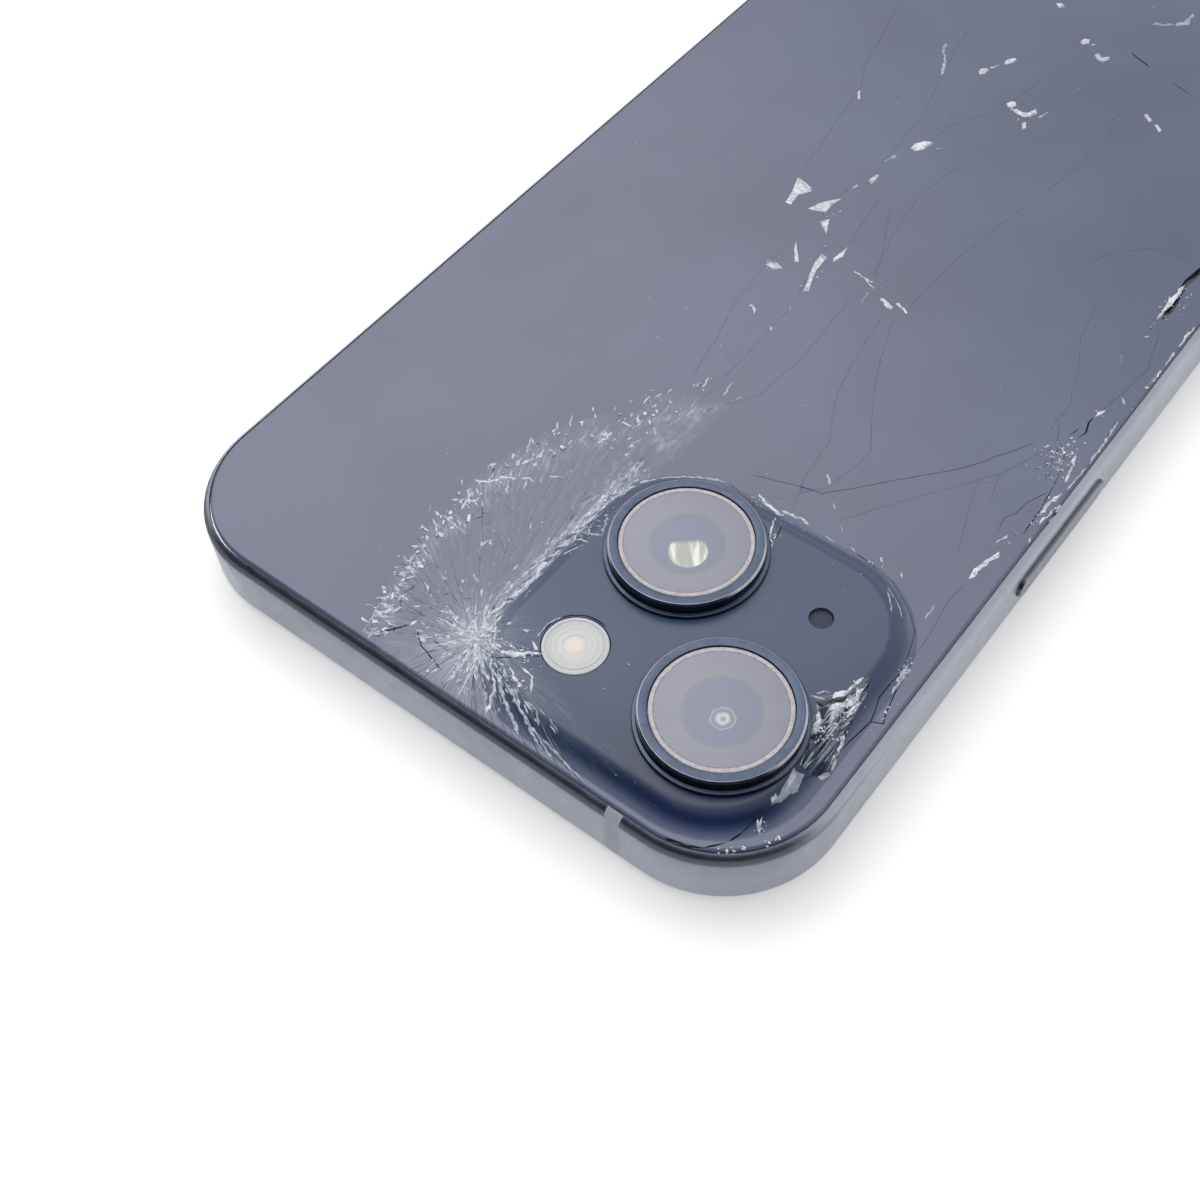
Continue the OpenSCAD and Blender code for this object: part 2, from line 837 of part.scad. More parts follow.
module screen_seal() {
    color([0.06, 0.06, 0.07])
        difference() {
            plate(body_w - 2 * screen_frame_inset, body_l - 2 * screen_frame_inset,
                corner_r - screen_frame_inset, screen_glass_t + panel_t, front_ledge_z);
            plate(2 * inner_x, 2 * inner_y, inner_r, screen_glass_t, front_ledge_z + 1);
        }
}

module front_camera() {
    color([0.1, 0.1, 0.11])
        translate([front_camera_xy[0], front_camera_xy[1], 0]) {
            disc([0, 0], front_camera_hole_r, screen_glass_t + 0.05, inside_z0 + 0.5);
            plate(6.4, 6.4, 0.6, inside_z0, inside_z0 + 3.2);
        }
}

module earpiece_speaker() {
    color([0.16, 0.16, 0.17])
        translate([0, half_l - 6.2, 0])
            difference() {
                plate(11.5, 6.0, 0.8, inside_z0, inside_z0 + 3.0);
                plate(8.0, 1.2, 0.5, inside_z0 - 1, inside_z0 + 0.8);
            }
}

module earpiece_mesh() {
    color([0.07, 0.07, 0.08])
        translate([0, ear_slot_y, 0.3])
            linear_extrude(0.15)
                pill(ear_slot[0] - 0.04, ear_slot[1] - 0.04);
}

module light_sensor() {
    color([0.6, 0.55, 0.35])
        translate([front_camera_xy[0] + 6.2, front_camera_xy[1] + 1, 0])
            plate(3.2, 2.4, 0.3, inside_z0 - 0.2, inside_z0 + 0.8);
}

// ---- Boards, battery and antennas ----

// Keeps a part that sits in a corner of the body clear of the band
module inside_body(clear) {
    intersection() {
        plate(2 * (inner_x - clear), 2 * (inner_y - clear), inner_r - clear, 0, body_t);
        children();
    }
}

module antenna_carrier() {
    z0 = inside_z0 + 0.2;
    x0 = front_camera_xy[0] + 5.0;
    color([0.13, 0.13, 0.14])
        inside_body(0.5)
            difference() {
                box([x0, inner_x], [board_y1 + 1, inner_y], [z0, midplate_z0 - 0.3]);
                box([x0 + 1.2, inner_x - 3], [board_y1 + 2.2, inner_y - 3],
                    [z0 + 1, midplate_z0]);
                box([x0 - 1, x0 + 4], [front_camera_xy[1] - 1, inner_y], [z0 - 1, z0 + 1.4]);
            }
}

module battery() {
    color([0.12, 0.12, 0.13]) {
        w = battery_x1 - battery_x0;
        l = battery_y1 - battery_y0;
        translate([(battery_x0 + battery_x1) / 2, (battery_y0 + battery_y1) / 2, 0])
            plate(w, l, 1.2, inside_z0 + 0.05, battery_z1);
    }
}

module battery_strips() {
    strip_w = 9.0;
    strip_end = 5.0;
    color([0.86, 0.86, 0.84])
        for (x = [battery_x0 + 10, battery_x1 - 10])
            box([x - strip_w / 2, x + strip_w / 2],
                [battery_y0 + strip_end, battery_y1 - strip_end], [battery_z1, midplate_z0]);
}

module main_board() {
    color([0.07, 0.16, 0.13])
        difference() {
            union() {
                box([board_x0, board_x1], [board_y0, board_y1], [board_z0, board_z1]);
                box([board_foot_x, board_x0 + skew], [board_foot_y, board_y1], [board_z0, board_z1]);
            }
            for (h = board_holes)
                disc(h, screw_r + 0.05, board_z0 - 1, board_z1 + 1);
        }
}

// The second board hangs under the first on a wall of solder and plastic
stack_x = [board_x0 + 4.6, board_x1 - 0.8];
stack_y = [tray_y + tray_w / 2 + 4.0, board_y1 - 4.0];
stack_z = [inside_z0 + 0.3, inside_z0 + 0.9];
stack_wall = 1.2;

module interposer() {
    color([0.2, 0.3, 0.2])
        difference() {
            box(stack_x, stack_y, [stack_z[1], board_z0]);
            box([stack_x[0] + stack_wall, stack_x[1] - stack_wall],
                [stack_y[0] + stack_wall, stack_y[1] - stack_wall], [0, board_z1]);
        }
}

module radio_board() {
    color([0.07, 0.16, 0.13])
        box(stack_x, stack_y, stack_z);
}

// Chips on the underside of the main board and on the radio board: across and along from the
// corner of the stack, then width, length and height
chips = [
    [2.2, 3.0, 8.0, 8.0, 0.9],
    [2.2, 13.0, 9.0, 11.0, 1.1],
    [2.6, 26.5, 7.5, 9.0, 0.8],
];
chip_gap = 0.2;

module board_chips() {
    color([0.11, 0.11, 0.12]) {
        for (c = chips) {
            x = stack_x[0] + c[0];
            y = stack_y[0] + c[1];
            box([x, x + c[2]], [y, y + c[3]], [board_z0 - c[4], board_z0]);
            box([x + 0.5, x + c[2] - 0.5], [y + 0.5, y + c[3] - 0.5],
                [stack_z[1], board_z0 - c[4] - chip_gap]);
        }
        for (i = [0:2])
            box([board_x0 + 5, board_x0 + 11], [board_y0 + 1.5 + 5 * i, board_y0 + 5.5 + 5 * i],
                [board_z0 - 0.8, board_z0]);
    }
}

module board_screws() {
    color([0.72, 0.72, 0.74])
        for (h = board_holes) {
            disc(h, screw_head_r, board_z0 - screw_head_t, board_z0);
            disc(h, screw_r - 0.02, board_z0 - skew, midplate_z1 - 0.05);
        }
}

module card_reader() {
    half_reader = tray_w / 2 + tray_gap + reader_wall;
    color([0.75, 0.75, 0.76])
        difference() {
            box([reader_x0, reader_x1], [tray_y - half_reader, tray_y + half_reader],
                [mid_z - reader_h / 2, mid_z + reader_h / 2]);
            box([reader_x0 + reader_wall, reader_x1 + 1],
                [tray_y - half_reader + reader_wall, tray_y + half_reader - reader_wall],
                [mid_z - reader_h / 2 + reader_wall, mid_z + reader_h / 2 - reader_wall]);
        }
}

module card_tray() {
    pocket_x0 = tray_x0 + 1.2;
    lip_t = 0.3;
    half_plate = tray_w / 2 - 0.2;  // clears the round ends of its slot
    color([0.22, 0.24, 0.29])
        difference() {
            union() {
                side_pill(tray_y, tray_w, mid_z, tray_face_h, half_w - tray_face_t, half_w);
                box([tray_x0, half_w - tray_face_t + skew],
                    [tray_y - half_plate, tray_y + half_plate],
                    [mid_z - tray_t / 2, mid_z + tray_t / 2]);
            }
            box([pocket_x0, pocket_x0 + card[0]], [tray_y - card[1] / 2, tray_y + card[1] / 2],
                [mid_z - tray_t / 2 + lip_t, body_t]);
            box([pocket_x0 + 1, pocket_x0 + card[0] - 1],
                [tray_y - card[1] / 2 + 1, tray_y + card[1] / 2 - 1], [0, body_t]);
            translate([half_w - tray_face_t - 1, tray_y - tray_w / 2 + 1.9, mid_z])
                rotate([0, 90, 0])
                    cylinder(r = 0.45, h = tray_face_t + 2);
        }
}

// ---- Bottom end ----

module loudspeaker() {
    color([0.12, 0.12, 0.13])
        inside_body(0.6)
            difference() {
                box([-inner_x, -end_screw_x - 1.8], [-inner_y, room_y - 1.1],
                    [inside_z0 + 0.1, midplate_z0 - 0.25]);
                box([-hole_first_x - (sound_holes - 1) * hole_pitch - 1, -hole_first_x + 1],
                    [-inner_y - 1, -inner_y + 3], [mid_z - 1, mid_z + 1]);
            }
}

module haptic_case() {
    w = haptic_wall;
    color([0.66, 0.66, 0.68])
        difference() {
            box([haptic_x0, haptic_x1], [haptic_y0, haptic_y0 + haptic_w], [haptic_z0, haptic_z1]);
            box([haptic_x0 + w, haptic_x1 - w], [haptic_y0 + w, haptic_y0 + haptic_w - w],
                [haptic_z0 + w, haptic_z1 - w]);
        }
}

module haptic_mass() {
    mid = (haptic_x0 + haptic_x1) / 2;
    side = haptic_wall + lead;
    color([0.45, 0.44, 0.42])
        box([mid - haptic_mass_l / 2, mid + haptic_mass_l / 2],
            [haptic_y0 + side, haptic_y0 + haptic_w - side], [haptic_z0 + side, haptic_z1 - side]);
}

// A leaf folded into a zigzag between the case and the mass, mirrored for the other end
module haptic_spring(dir) {
    leaf_t = 0.15;
    folds = 4;
    leg_w = haptic_w - 2 * (haptic_wall + 2 * lead);
    pitch = (haptic_spring_l - leaf_t) / folds;
    end_x = (haptic_x0 + haptic_x1) / 2 - dir * (haptic_l / 2 - haptic_wall);
    color([0.8, 0.8, 0.82])
        translate([end_x, haptic_y0 + haptic_w / 2, 0])
            for (i = [0:folds]) {
                x = dir * (leaf_t / 2 + i * pitch);
                box([x - leaf_t / 2, x + leaf_t / 2], [-leg_w / 2, leg_w / 2],
                    [haptic_z0 + 2 * lead, haptic_z1 - 2 * lead]);
                if (i < folds) {
                    side = i % 2 == 0 ? 1 : -1;
                    fold = side * (leg_w - leaf_t) / 2;
                    box([min(x, x + dir * pitch), max(x, x + dir * pitch)],
                        [fold - leaf_t / 2, fold + leaf_t / 2],
                        [haptic_z0 + 2 * lead, haptic_z1 - 2 * lead]);
                }
            }
}

module left_haptic_spring() {
    haptic_spring(1);
}

module right_haptic_spring() {
    haptic_spring(-1);
}

// Socket: a tube with round sides, closed inside, round a thin tongue
module charging_port() {
    y0 = -inner_y + 0.05;
    y1 = -inner_y + port_depth;
    back_t = 0.8;
    tongue_w = port_w - 2.2;
    tongue_t = 0.7;
    color([0.5, 0.5, 0.52]) {
        difference() {
            end_pill(0, port_w + 2 * port_wall, mid_z, port_h + 2 * port_wall, y0, y1);
            end_pill(0, port_w - 0.1, mid_z, port_h - 0.1, y0 - 1, y1 - back_t);
        }
        box([-tongue_w / 2, tongue_w / 2], [-half_l + 1.4, y1 - back_t / 2],
            [mid_z - tongue_t / 2, mid_z + tongue_t / 2]);
    }
}

flex_t = 0.12;
flex_z = midplate_z0 - 0.18;

module charging_flex() {
    run_x = [board_x1 - 12, board_x1 - 6];
    lead_y = [-inner_y + port_depth - 3, -inner_y + port_depth + 1];
    color([0.35, 0.2, 0.1]) {
        box([-4, run_x[1]], lead_y, [flex_z, flex_z + flex_t]);
        box(run_x, [lead_y[0], board_y0 + 4], [flex_z, flex_z + flex_t]);
        box([-3.5, 3.5], lead_y, [mid_z + port_h / 2 + port_wall, flex_z + skew]);
        box([run_x[0] + 0.5, run_x[1] - 0.5], [board_y0 + 0.5, board_y0 + 3.5],
            [board_z1, flex_z + skew]);
    }
}

module end_screws() {
    y0 = -half_l + end_screw_sink;
    color([0.3, 0.31, 0.34])
        for (s = [-1, 1])
            difference() {
                union() {
                    rod_y(s * end_screw_x, mid_z, end_screw_head_r, y0, y0 + end_screw_head_t);
                    rod_y(s * end_screw_x, mid_z, end_screw_r, y0 + end_screw_head_t - skew,
                        y0 + end_screw_l);
                }
                // five-lobed drive
                for (i = [0:4])
                    rod_y(s * end_screw_x + 0.3 * cos(72 * i), mid_z + 0.3 * sin(72 * i), 0.16,
                        y0 - 1, y0 + 0.4);
            }
}

module bottom_mic() {
    color([0.7, 0.66, 0.5])
        box([hole_first_x + 1, hole_first_x + 4.6], [-inner_y + 0.3, -inner_y + 2.4],
            [mid_z - 0.9, mid_z + 0.9]);
}

module sound_meshes() {
    reach = (sound_holes - 1) * hole_pitch;
    color([0.06, 0.06, 0.07])
        for (s = [-1, 1])
            end_pill(s * (hole_first_x + reach / 2), reach + 2 * sound_hole_r + 0.6, mid_z,
                2 * sound_hole_r + 0.6, -inner_y, -inner_y + 0.15);
}

// ---- Buttons ----

// Button in the -X side: a round-ended head with a flange behind the band
module button_shape(y, l) {
    rest_gap = 0.02;
    side_pill(y, l, mid_z, button_h, -half_w - button_proud, -inner_x + rest_gap + skew);
    side_pill(y, l + 2 * flange_in, mid_z, button_h + 2 * flange_in, -inner_x + rest_gap,
        -inner_x + rest_gap + flange_t_in);
}

module side_button() {
    color([0.22, 0.24, 0.29])
        button_shape(side_button_y, side_button_l);
}

module volume_up_button() {
    color([0.22, 0.24, 0.29])
        mirror([1, 0, 0])
            button_shape(volume_up_y, volume_button_l);
}

module volume_down_button() {
    color([0.22, 0.24, 0.29])
        mirror([1, 0, 0])
            button_shape(volume_down_y, volume_button_l);
}

// Switch behind a button in the -X side
module switch_shape(y) {
    color([0.62, 0.6, 0.5])
        box([-switch_x, -switch_x + switch_t], [y - 2.6, y + 2.6], [mid_z - 1.2, mid_z + 1.2]);
}

module side_switch() {
    switch_shape(side_button_y);
}

module volume_switches() {
    mirror([1, 0, 0])
        for (y = [volume_up_y, volume_down_y])
            switch_shape(y);
}

// Lever of the ring switch, at the back end of its travel
ring_lever_z = mid_z + (ring_slot_h - ring_lever_h) / 2 - fit_gap;

module ring_switch() {
    color([0.22, 0.24, 0.29])
        side_pill(ring_switch_y, ring_lever_l, ring_lever_z, ring_lever_h,
            inner_x - 0.25, half_w + button_proud);
}

module ring_switch_body() {
    x1 = inner_x - 0.35;
    color([0.62, 0.6, 0.5])
        box([x1 - switch_t, x1], [ring_switch_y - 3, ring_switch_y + 3], [mid_z - 1.3, mid_z + 1.3]);
}

// ---- Flat cables ----

module screen_flex() {
    x = [stack_x[0] + 2, stack_x[0] + 8];
    y = board_y0 + 17.5;
    back_z = screen_glass_t + panel_t;
    color([0.35, 0.2, 0.1]) {
        box(x, [y - 6, y], [back_z, back_z + flex_t]);
        box(x, [y - flex_t, y], [back_z, board_z0]);
        box(x, [y - 2, y], [board_z0 - flex_t, board_z0]);
    }
}

module battery_flex() {
    y = [battery_y1 - 30, battery_y1 - 25];
    z = board_z0 - 0.3;
    color([0.35, 0.2, 0.1]) {
        box([battery_x1, board_x0 + 4], y, [z, z + flex_t]);
        box([board_x0 + 1, board_x0 + 4], y, [z, board_z0]);
    }
}

frame();
antenna_breaks();
back_glass();
back_plate();
back_seal();
charging_coil();
coil_shield();
magnet_ring();
wide_lens_ring();
main_lens_ring();
wide_lens_window();
main_lens_window();
wide_camera_housing();
main_camera_housing();
wide_lens_barrel();
main_lens_barrel();
camera_tray();
flash_window();
flash_lamp();
rear_mic_mesh();
rear_mic();
screen_glass();
screen_panel();
screen_frame();
screen_seal();
front_camera();
earpiece_speaker();
earpiece_mesh();
light_sensor();
antenna_carrier();
battery();
battery_strips();
main_board();
interposer();
radio_board();
board_chips();
board_screws();
card_reader();
card_tray();
loudspeaker();
haptic_case();
haptic_mass();
left_haptic_spring();
right_haptic_spring();
charging_port();
charging_flex();
end_screws();
bottom_mic();
sound_meshes();
side_button();
side_switch();
volume_up_button();
volume_down_button();
volume_switches();
ring_switch();
ring_switch_body();
screen_flex();
battery_flex();
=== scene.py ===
"""Looks of a slim phone whose glass back is shattered, lying on its screen.

Sizes and places are in millimetres in the phone's own frame: +X to the right and +Y to the top end, seen from
above the back, and +Z up. They become metres when a mesh or a node is made. Colours are linear.
"""

import json
import math

import bpy
import numpy as np
from mathutils import Matrix, Vector
from mathutils.geometry import delaunay_2d_cdt

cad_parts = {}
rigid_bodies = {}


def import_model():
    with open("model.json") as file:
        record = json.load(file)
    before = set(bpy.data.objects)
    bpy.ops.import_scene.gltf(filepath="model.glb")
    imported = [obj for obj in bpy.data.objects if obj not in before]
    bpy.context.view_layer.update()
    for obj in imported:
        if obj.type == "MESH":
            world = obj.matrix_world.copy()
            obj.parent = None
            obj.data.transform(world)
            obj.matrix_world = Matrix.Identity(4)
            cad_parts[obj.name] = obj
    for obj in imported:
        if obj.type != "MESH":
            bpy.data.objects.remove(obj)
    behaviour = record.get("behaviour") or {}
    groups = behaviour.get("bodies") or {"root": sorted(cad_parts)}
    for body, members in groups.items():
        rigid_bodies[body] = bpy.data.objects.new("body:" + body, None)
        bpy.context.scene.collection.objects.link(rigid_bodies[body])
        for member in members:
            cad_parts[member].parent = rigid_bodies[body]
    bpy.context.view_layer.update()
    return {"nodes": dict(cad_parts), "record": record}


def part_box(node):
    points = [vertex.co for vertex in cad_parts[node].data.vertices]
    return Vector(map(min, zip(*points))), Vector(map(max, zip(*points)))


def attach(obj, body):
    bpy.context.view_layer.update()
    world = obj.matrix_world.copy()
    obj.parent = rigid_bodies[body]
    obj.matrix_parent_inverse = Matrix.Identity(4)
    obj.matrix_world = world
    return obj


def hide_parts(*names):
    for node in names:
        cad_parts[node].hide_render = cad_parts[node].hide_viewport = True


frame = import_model()
nodes = frame["nodes"]

MM = 0.001
rng = np.random.default_rng(61)


def box_mm(node):
    """Lowest and highest corner of a CAD node, in millimetres."""
    low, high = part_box(node)
    return np.array(low) / MM, np.array(high) / MM


def middle(node):
    """Middle of a CAD node seen from above."""
    low, high = box_mm(node)
    return (low[:2] + high[:2]) / 2


def radius(low, high):
    return (high[0] - low[0]) / 2


# ---------------------------------------------------------------- sizes, from the frame where it holds them

_, band_high = box_mm("frame")
glass_low, glass_high = box_mm("back_glass")
ring_low, ring_high = box_mm("main_lens_ring")
window_low, window_high = box_mm("main_lens_window")
barrel_low, barrel_high = box_mm("main_lens_barrel")
flash_low, flash_high = box_mm("flash_window")
mic_low, mic_high = box_mm("rear_mic_mesh")

HALF_W, HALF_L = band_high[:2]
BODY_CORNER = 11.9
GLASS_INSET = 0.1
GLASS_HALF = glass_high[:2] - GLASS_INSET
GLASS_CORNER = 11.12 - GLASS_INSET
GLASS_T = 0.6
BACK_Z = glass_low[2] + GLASS_T
EDGE_ROUND = 0.3

# the plateau round the cameras, and how far its softened flank reaches in from the foot
PLATEAU_Z = glass_high[2]
PLATEAU_H = PLATEAU_Z - BACK_Z
PLATEAU_AT = np.array([-HALF_W + 19.25, HALF_L - 18.25])
FLANK = 2.0
PLATEAU_HALF = np.array([15.0, 14.9]) + FLANK
PLATEAU_CORNER = 8.0 + FLANK
SHOULDER = 2.8

WIDE_AT, MAIN_AT = middle("wide_lens_ring"), middle("main_lens_ring")
FLASH_AT, MIC_AT = middle("flash_window"), middle("rear_mic_mesh")
LENS_HOLE_R, FLASH_HOLE_R, MIC_HOLE_R = 6.6, 3.17, 1.15
HOLES = [(WIDE_AT, LENS_HOLE_R), (MAIN_AT, LENS_HOLE_R), (FLASH_AT, FLASH_HOLE_R), (MIC_AT, MIC_HOLE_R)]
# how near the middle of each hole loose glass may lie
CLEAR_OF = [(WIDE_AT, 8.0), (MAIN_AT, 8.0), (FLASH_AT, 3.3), (MIC_AT, 1.4)]

# where the blow struck
STAR = np.array([0.0, 66.5])

# ---------------------------------------------------------------- node helpers


class Value:
    """What a node gives out. Arithmetic on it makes the nodes that work it out."""

    def __init__(self, socket):
        self.socket = socket

    def to(self, kind, inputs, output, **props):
        """Output of a new node in the same tree."""
        return Value(add(self.socket.id_data, kind, inputs, **props).outputs[output])

    def math(self, operation, a, b):
        return self.to("Math", {0: a, 1: b}, "Value", operation=operation)

    def __add__(self, other):
        return self.math("ADD", self, other)

    def __sub__(self, other):
        return self.math("SUBTRACT", self, other)

    def __rsub__(self, other):
        return self.math("SUBTRACT", other, self)

    def __mul__(self, other):
        return self.math("MULTIPLY", self, other)

    def __truediv__(self, other):
        return self.math("DIVIDE", self, other)

    def max(self, other):
        return self.math("MAXIMUM", self, other)

    def spread(self, low, high, out_low=0.0, out_high=1.0, **props):
        """Maps from one range to another, clamped."""
        inputs = {"Value": self, "From Min": low, "From Max": high, "To Min": out_low, "To Max": out_high}
        return self.to("MapRange", inputs, "Result", **props)

    def ramp(self, stops):
        """Colour ramp: stops are (place, colour)."""
        node = add(self.socket.id_data, "ValToRGB", {"Fac": self})
        elements = node.color_ramp.elements
        while len(elements) < len(stops):
            elements.new(0.5)
        for element, (place_at, colour) in zip(elements, stops):
            element.position = place_at
            element.color = rgba(colour)
        return Value(node.outputs["Color"])

    def mix(self, a, b):
        """Mixes two colours by this share."""
        node = add(self.socket.id_data, "Mix", data_type="RGBA")
        for name, value in (("Factor", self), ("A", a), ("B", b)):
            socket = next(s for s in node.inputs if s.name == name and s.enabled)
            fill(socket, value)
        return Value(next(s for s in node.outputs if s.enabled))

    def bump(self, strength, distance):
        """Bump normal from this height, with its distance in millimetres."""
        return self.to("Bump", {"Height": self, "Strength": strength, "Distance": distance * MM}, "Normal")

    def minus(self, place_at):
        """Vector from a place to this one."""
        return self.to("VectorMath", {0: self, 1: place_at}, "Vector", operation="SUBTRACT")

    def length(self):
        return self.to("VectorMath", {0: self}, "Value", operation="LENGTH")

    def mapped(self, scale, turn=0.0):
        """Vector scaled along each axis, after a turn in degrees about Z."""
        inputs = {"Vector": self, "Scale": scale, "Rotation": (0, 0, math.radians(turn))}
        return self.to("Mapping", inputs, "Vector")

    def noise(self, scale, detail=3.0, rough=0.5, distortion=0.0):
        inputs = {"Vector": self, "Scale": scale, "Detail": detail, "Roughness": rough}
        return self.to("TexNoise", {**inputs, "Distortion": distortion}, "Fac")

    def parts(self):
        """X, Y and Z of a vector."""
        outputs = add(self.socket.id_data, "SeparateXYZ", {"Vector": self}).outputs
        return [Value(socket) for socket in outputs]


def rgba(colour):
    return (*colour, 1.0)


def fill(socket, value):
    """Links a value to a socket, or sets it there. A colour may come without its alpha."""
    if isinstance(value, Value):
        socket.id_data.links.new(value.socket, socket)
    elif socket.type == "RGBA" and len(value) == 3:
        socket.default_value = rgba(value)
    else:
        socket.default_value = value


def add(tree, kind, inputs=None, **props):
    """Adds a shader node, sets its properties, and fills its inputs."""
    node = tree.nodes.new("ShaderNode" + kind)
    for key, value in props.items():
        setattr(node, key, value)
    for key, value in (inputs or {}).items():
        fill(node.inputs[key], value)
    return node


def see_through_rays(tree):
    """1 for rays that see the background: from the camera, a reflection or through glass."""
    rays = add(tree, "LightPath").outputs
    from_camera, from_gloss, from_glass = (Value(rays["Is " + kind + " Ray"])
                                           for kind in ("Camera", "Glossy", "Transmission"))
    return from_camera.max(from_gloss).max(from_glass)


class Paint:
    """A material that is being made."""

    def __init__(self, name):
        self.material = bpy.data.materials.new(name)
        self.material.use_nodes = True
        self.tree = self.material.node_tree
        self.shader = self.tree.nodes["Principled BSDF"]

    def place(self):
        """Object coordinates."""
        return Value(add(self.tree, "TexCoord").outputs["Object"])

    def noise(self, scale, detail=3.0, rough=0.55, stretch=(1, 1, 1), distortion=0.0):
        """Noise whose scale is how many features fit in a millimetre."""
        return self.place().mapped([s / MM for s in stretch]).noise(scale, detail, rough, distortion)

    def attribute(self, name):
        node = add(self.tree, "Attribute", attribute_name=name, attribute_type="GEOMETRY")
        return Value(node.outputs["Fac"])

    def shade(self, **inputs):
        """Fills inputs of the principled shader, Base_Color for Base Color, and gives the material."""
        for key, value in inputs.items():
            fill(self.shader.inputs[key.replace("_", " ")], value)
        return self.material

    def surface(self, kind, first, second, share=None):
        """Takes the sum or mix of two shaders in place of the principled one, and gives the material."""
        self.tree.nodes.remove(self.shader)
        at = 0 if share is None else 1
        both = add(self.tree, kind, {} if share is None else {0: share})
        for k, shader in enumerate((first, second)):
            self.tree.links.new(shader.outputs[0], both.inputs[at + k])
        self.tree.links.new(both.outputs[0], self.tree.nodes["Material Output"].inputs["Surface"])
        return self.material


def finish(name, dark, light, scale, rough, metal=0.0, grain=0.0, grain_scale=20.0, stretch=(1, 1, 1)):
    """A finish whose colour drifts between two tones, with its roughness and a fine grain."""
    paint = Paint(name)
    if grain:
        paint.shade(Normal=paint.noise(grain_scale, stretch=stretch).bump(0.5, grain))
    return paint.shade(Base_Color=paint.noise(scale, 4.0).spread(0.35, 0.65).mix(dark, light), Metallic=metal,
                       Roughness=paint.noise(scale * 3, 5.0).spread(0.3, 0.7, *rough))


# ---------------------------------------------------------------- broken glass

SLATE_DARK = (0.094, 0.112, 0.184)
SLATE = (0.112, 0.131, 0.214)
FROSTED = (0.033, 0.058, 0.125)
# painted shade: the dark navy that the plateau is painted towards the body's nearest corner
PLATEAU_PAINTED_SHADE = (0.003, 0.014, 0.062)
MILK = (0.52, 0.56, 0.64)
GLASS_IOR = 1.5
# how many streaks the noise round the impact has per radian, and per millimetre outwards
STREAKS = (46.0, 0.42)


def star_streaks(paint):
    """Noise drawn out along the rays from the impact."""
    offset = paint.place().minus((*STAR * MM, 0))
    x, y, _ = offset.parts()
    angle = x.math("ARCTAN2", y, x)
    inputs = {"X": angle * STREAKS[0], "Y": offset.length() * (STREAKS[1] / MM)}
    return angle.to("CombineXYZ", inputs, "Vector").noise(1.0, 6.0, 0.72)


def back_glass_material():
    """Glossy slate glass, frosted on the plateau, milky where it is crazed, with a painted shade that darkens
    the plateau towards the body's nearest corner.
    """
    paint = Paint("shattered_slate_glass")
    frost, craze = paint.attribute("frost"), paint.attribute("craze")
    slate = paint.noise(0.05).spread(0.35, 0.65).mix(SLATE_DARK, SLATE)
    # the deep attribute mixes in the painted shade towards the corner
    base = paint.attribute("deep").mix(frost.mix(slate, FROSTED), PLATEAU_PAINTED_SHADE)
    streaks = star_streaks(paint).spread(0.49, 0.66)
    specks = paint.noise(3.0, 6.0, 0.7, distortion=1.5).spread(0.56, 0.72)
    veil = streaks.max(specks * 0.8) * craze + craze * 0.16
    smudge = paint.noise(0.12, 5.0, 0.65, distortion=0.8).spread(0.35, 0.75, 0.05, 0.12)
    ripple = paint.noise(1.1, 4.0, 0.6, distortion=0.6) * (craze + 0.02)
    return paint.shade(Base_Color=veil.mix(base, MILK), Roughness=smudge.max(frost * 0.3).max(veil * 0.4),
                       Normal=ripple.bump(1.0, 0.05), IOR=GLASS_IOR)


def crack_wall_material():
    """Walls of the cracks: near black at tone -1, a painted shade inside open cracks, like the glass at 0,
    and white broken glass at 1.
    """
    paint = Paint("fracture_wall_white_and_painted_shade")
    share = paint.attribute("tone") * paint.noise(0.9, 5.0, 0.7).spread(0.38, 0.62, 0.3, 1.0) * 0.5 + 0.5
    # the near-black stop is painted shade inside open cracks
    stops = [(0.0, (0.006, 0.008, 0.016)), (0.5, (0.085, 0.102, 0.165)), (1.0, (0.80, 0.83, 0.88))]
    return paint.shade(Base_Color=share.ramp(stops), Roughness=share.spread(0.5, 1.0, 0.15, 0.45),
                       IOR=GLASS_IOR)


def crushed_material():
    """Crushed glass: clear, milky and white facets."""
    paint = Paint("crushed_glass")
    tone = paint.attribute("tone") + paint.noise(1.2, 5.0, 0.7) * 0.5
    stops = [(0.2, (0.075, 0.10, 0.145)), (0.45, (0.20, 0.25, 0.32)), (0.7, (0.50, 0.55, 0.62)),
             (0.95, (0.90, 0.92, 0.94))]
    return paint.shade(Base_Color=tone.ramp(stops), Roughness=paint.noise(5.0).spread(0.3, 0.7, 0.12, 0.5),
                       Normal=paint.noise(5.0, 6.0, 0.7).bump(0.5, 0.05), IOR=GLASS_IOR)


def scar_material():
    """White scars and crumbs: broken glass that scatters light, fading to the slate at tone 0."""
    paint = Paint("white_fracture")
    tone = paint.attribute("tone") * paint.noise(2.2, 5.0, 0.7, distortion=0.8).spread(0.35, 0.6, 0.45, 1.0)
    stops = [(0.0, (0.10, 0.12, 0.19)), (0.45, (0.38, 0.42, 0.50)), (0.95, (0.86, 0.88, 0.91))]
    return paint.shade(Base_Color=tone.ramp(stops), Roughness=paint.noise(6.0).spread(0.3, 0.7, 0.2, 0.5),
                       IOR=GLASS_IOR)


# ---------------------------------------------------------------- meshes and pieces


def new_mesh(name, vertices, faces, smooth=False):
    """A mesh from corners in millimetres."""
    mesh = bpy.data.meshes.new(name)
    mesh.from_pydata((np.array(vertices, float) * MM).tolist(), [], faces)
    mesh.polygons.foreach_set("use_smooth", [smooth] * len(faces))
    return mesh


def set_attribute(mesh, name, domain, values):
    mesh.attributes.new(name, "FLOAT", domain).data.foreach_set("value", np.asarray(values, np.float32))


def new_object(mesh, name, materials):
    piece = bpy.data.objects.new(name, mesh)
    for material in materials:
        mesh.materials.append(material)
    bpy.context.scene.collection.objects.link(piece)
    return piece


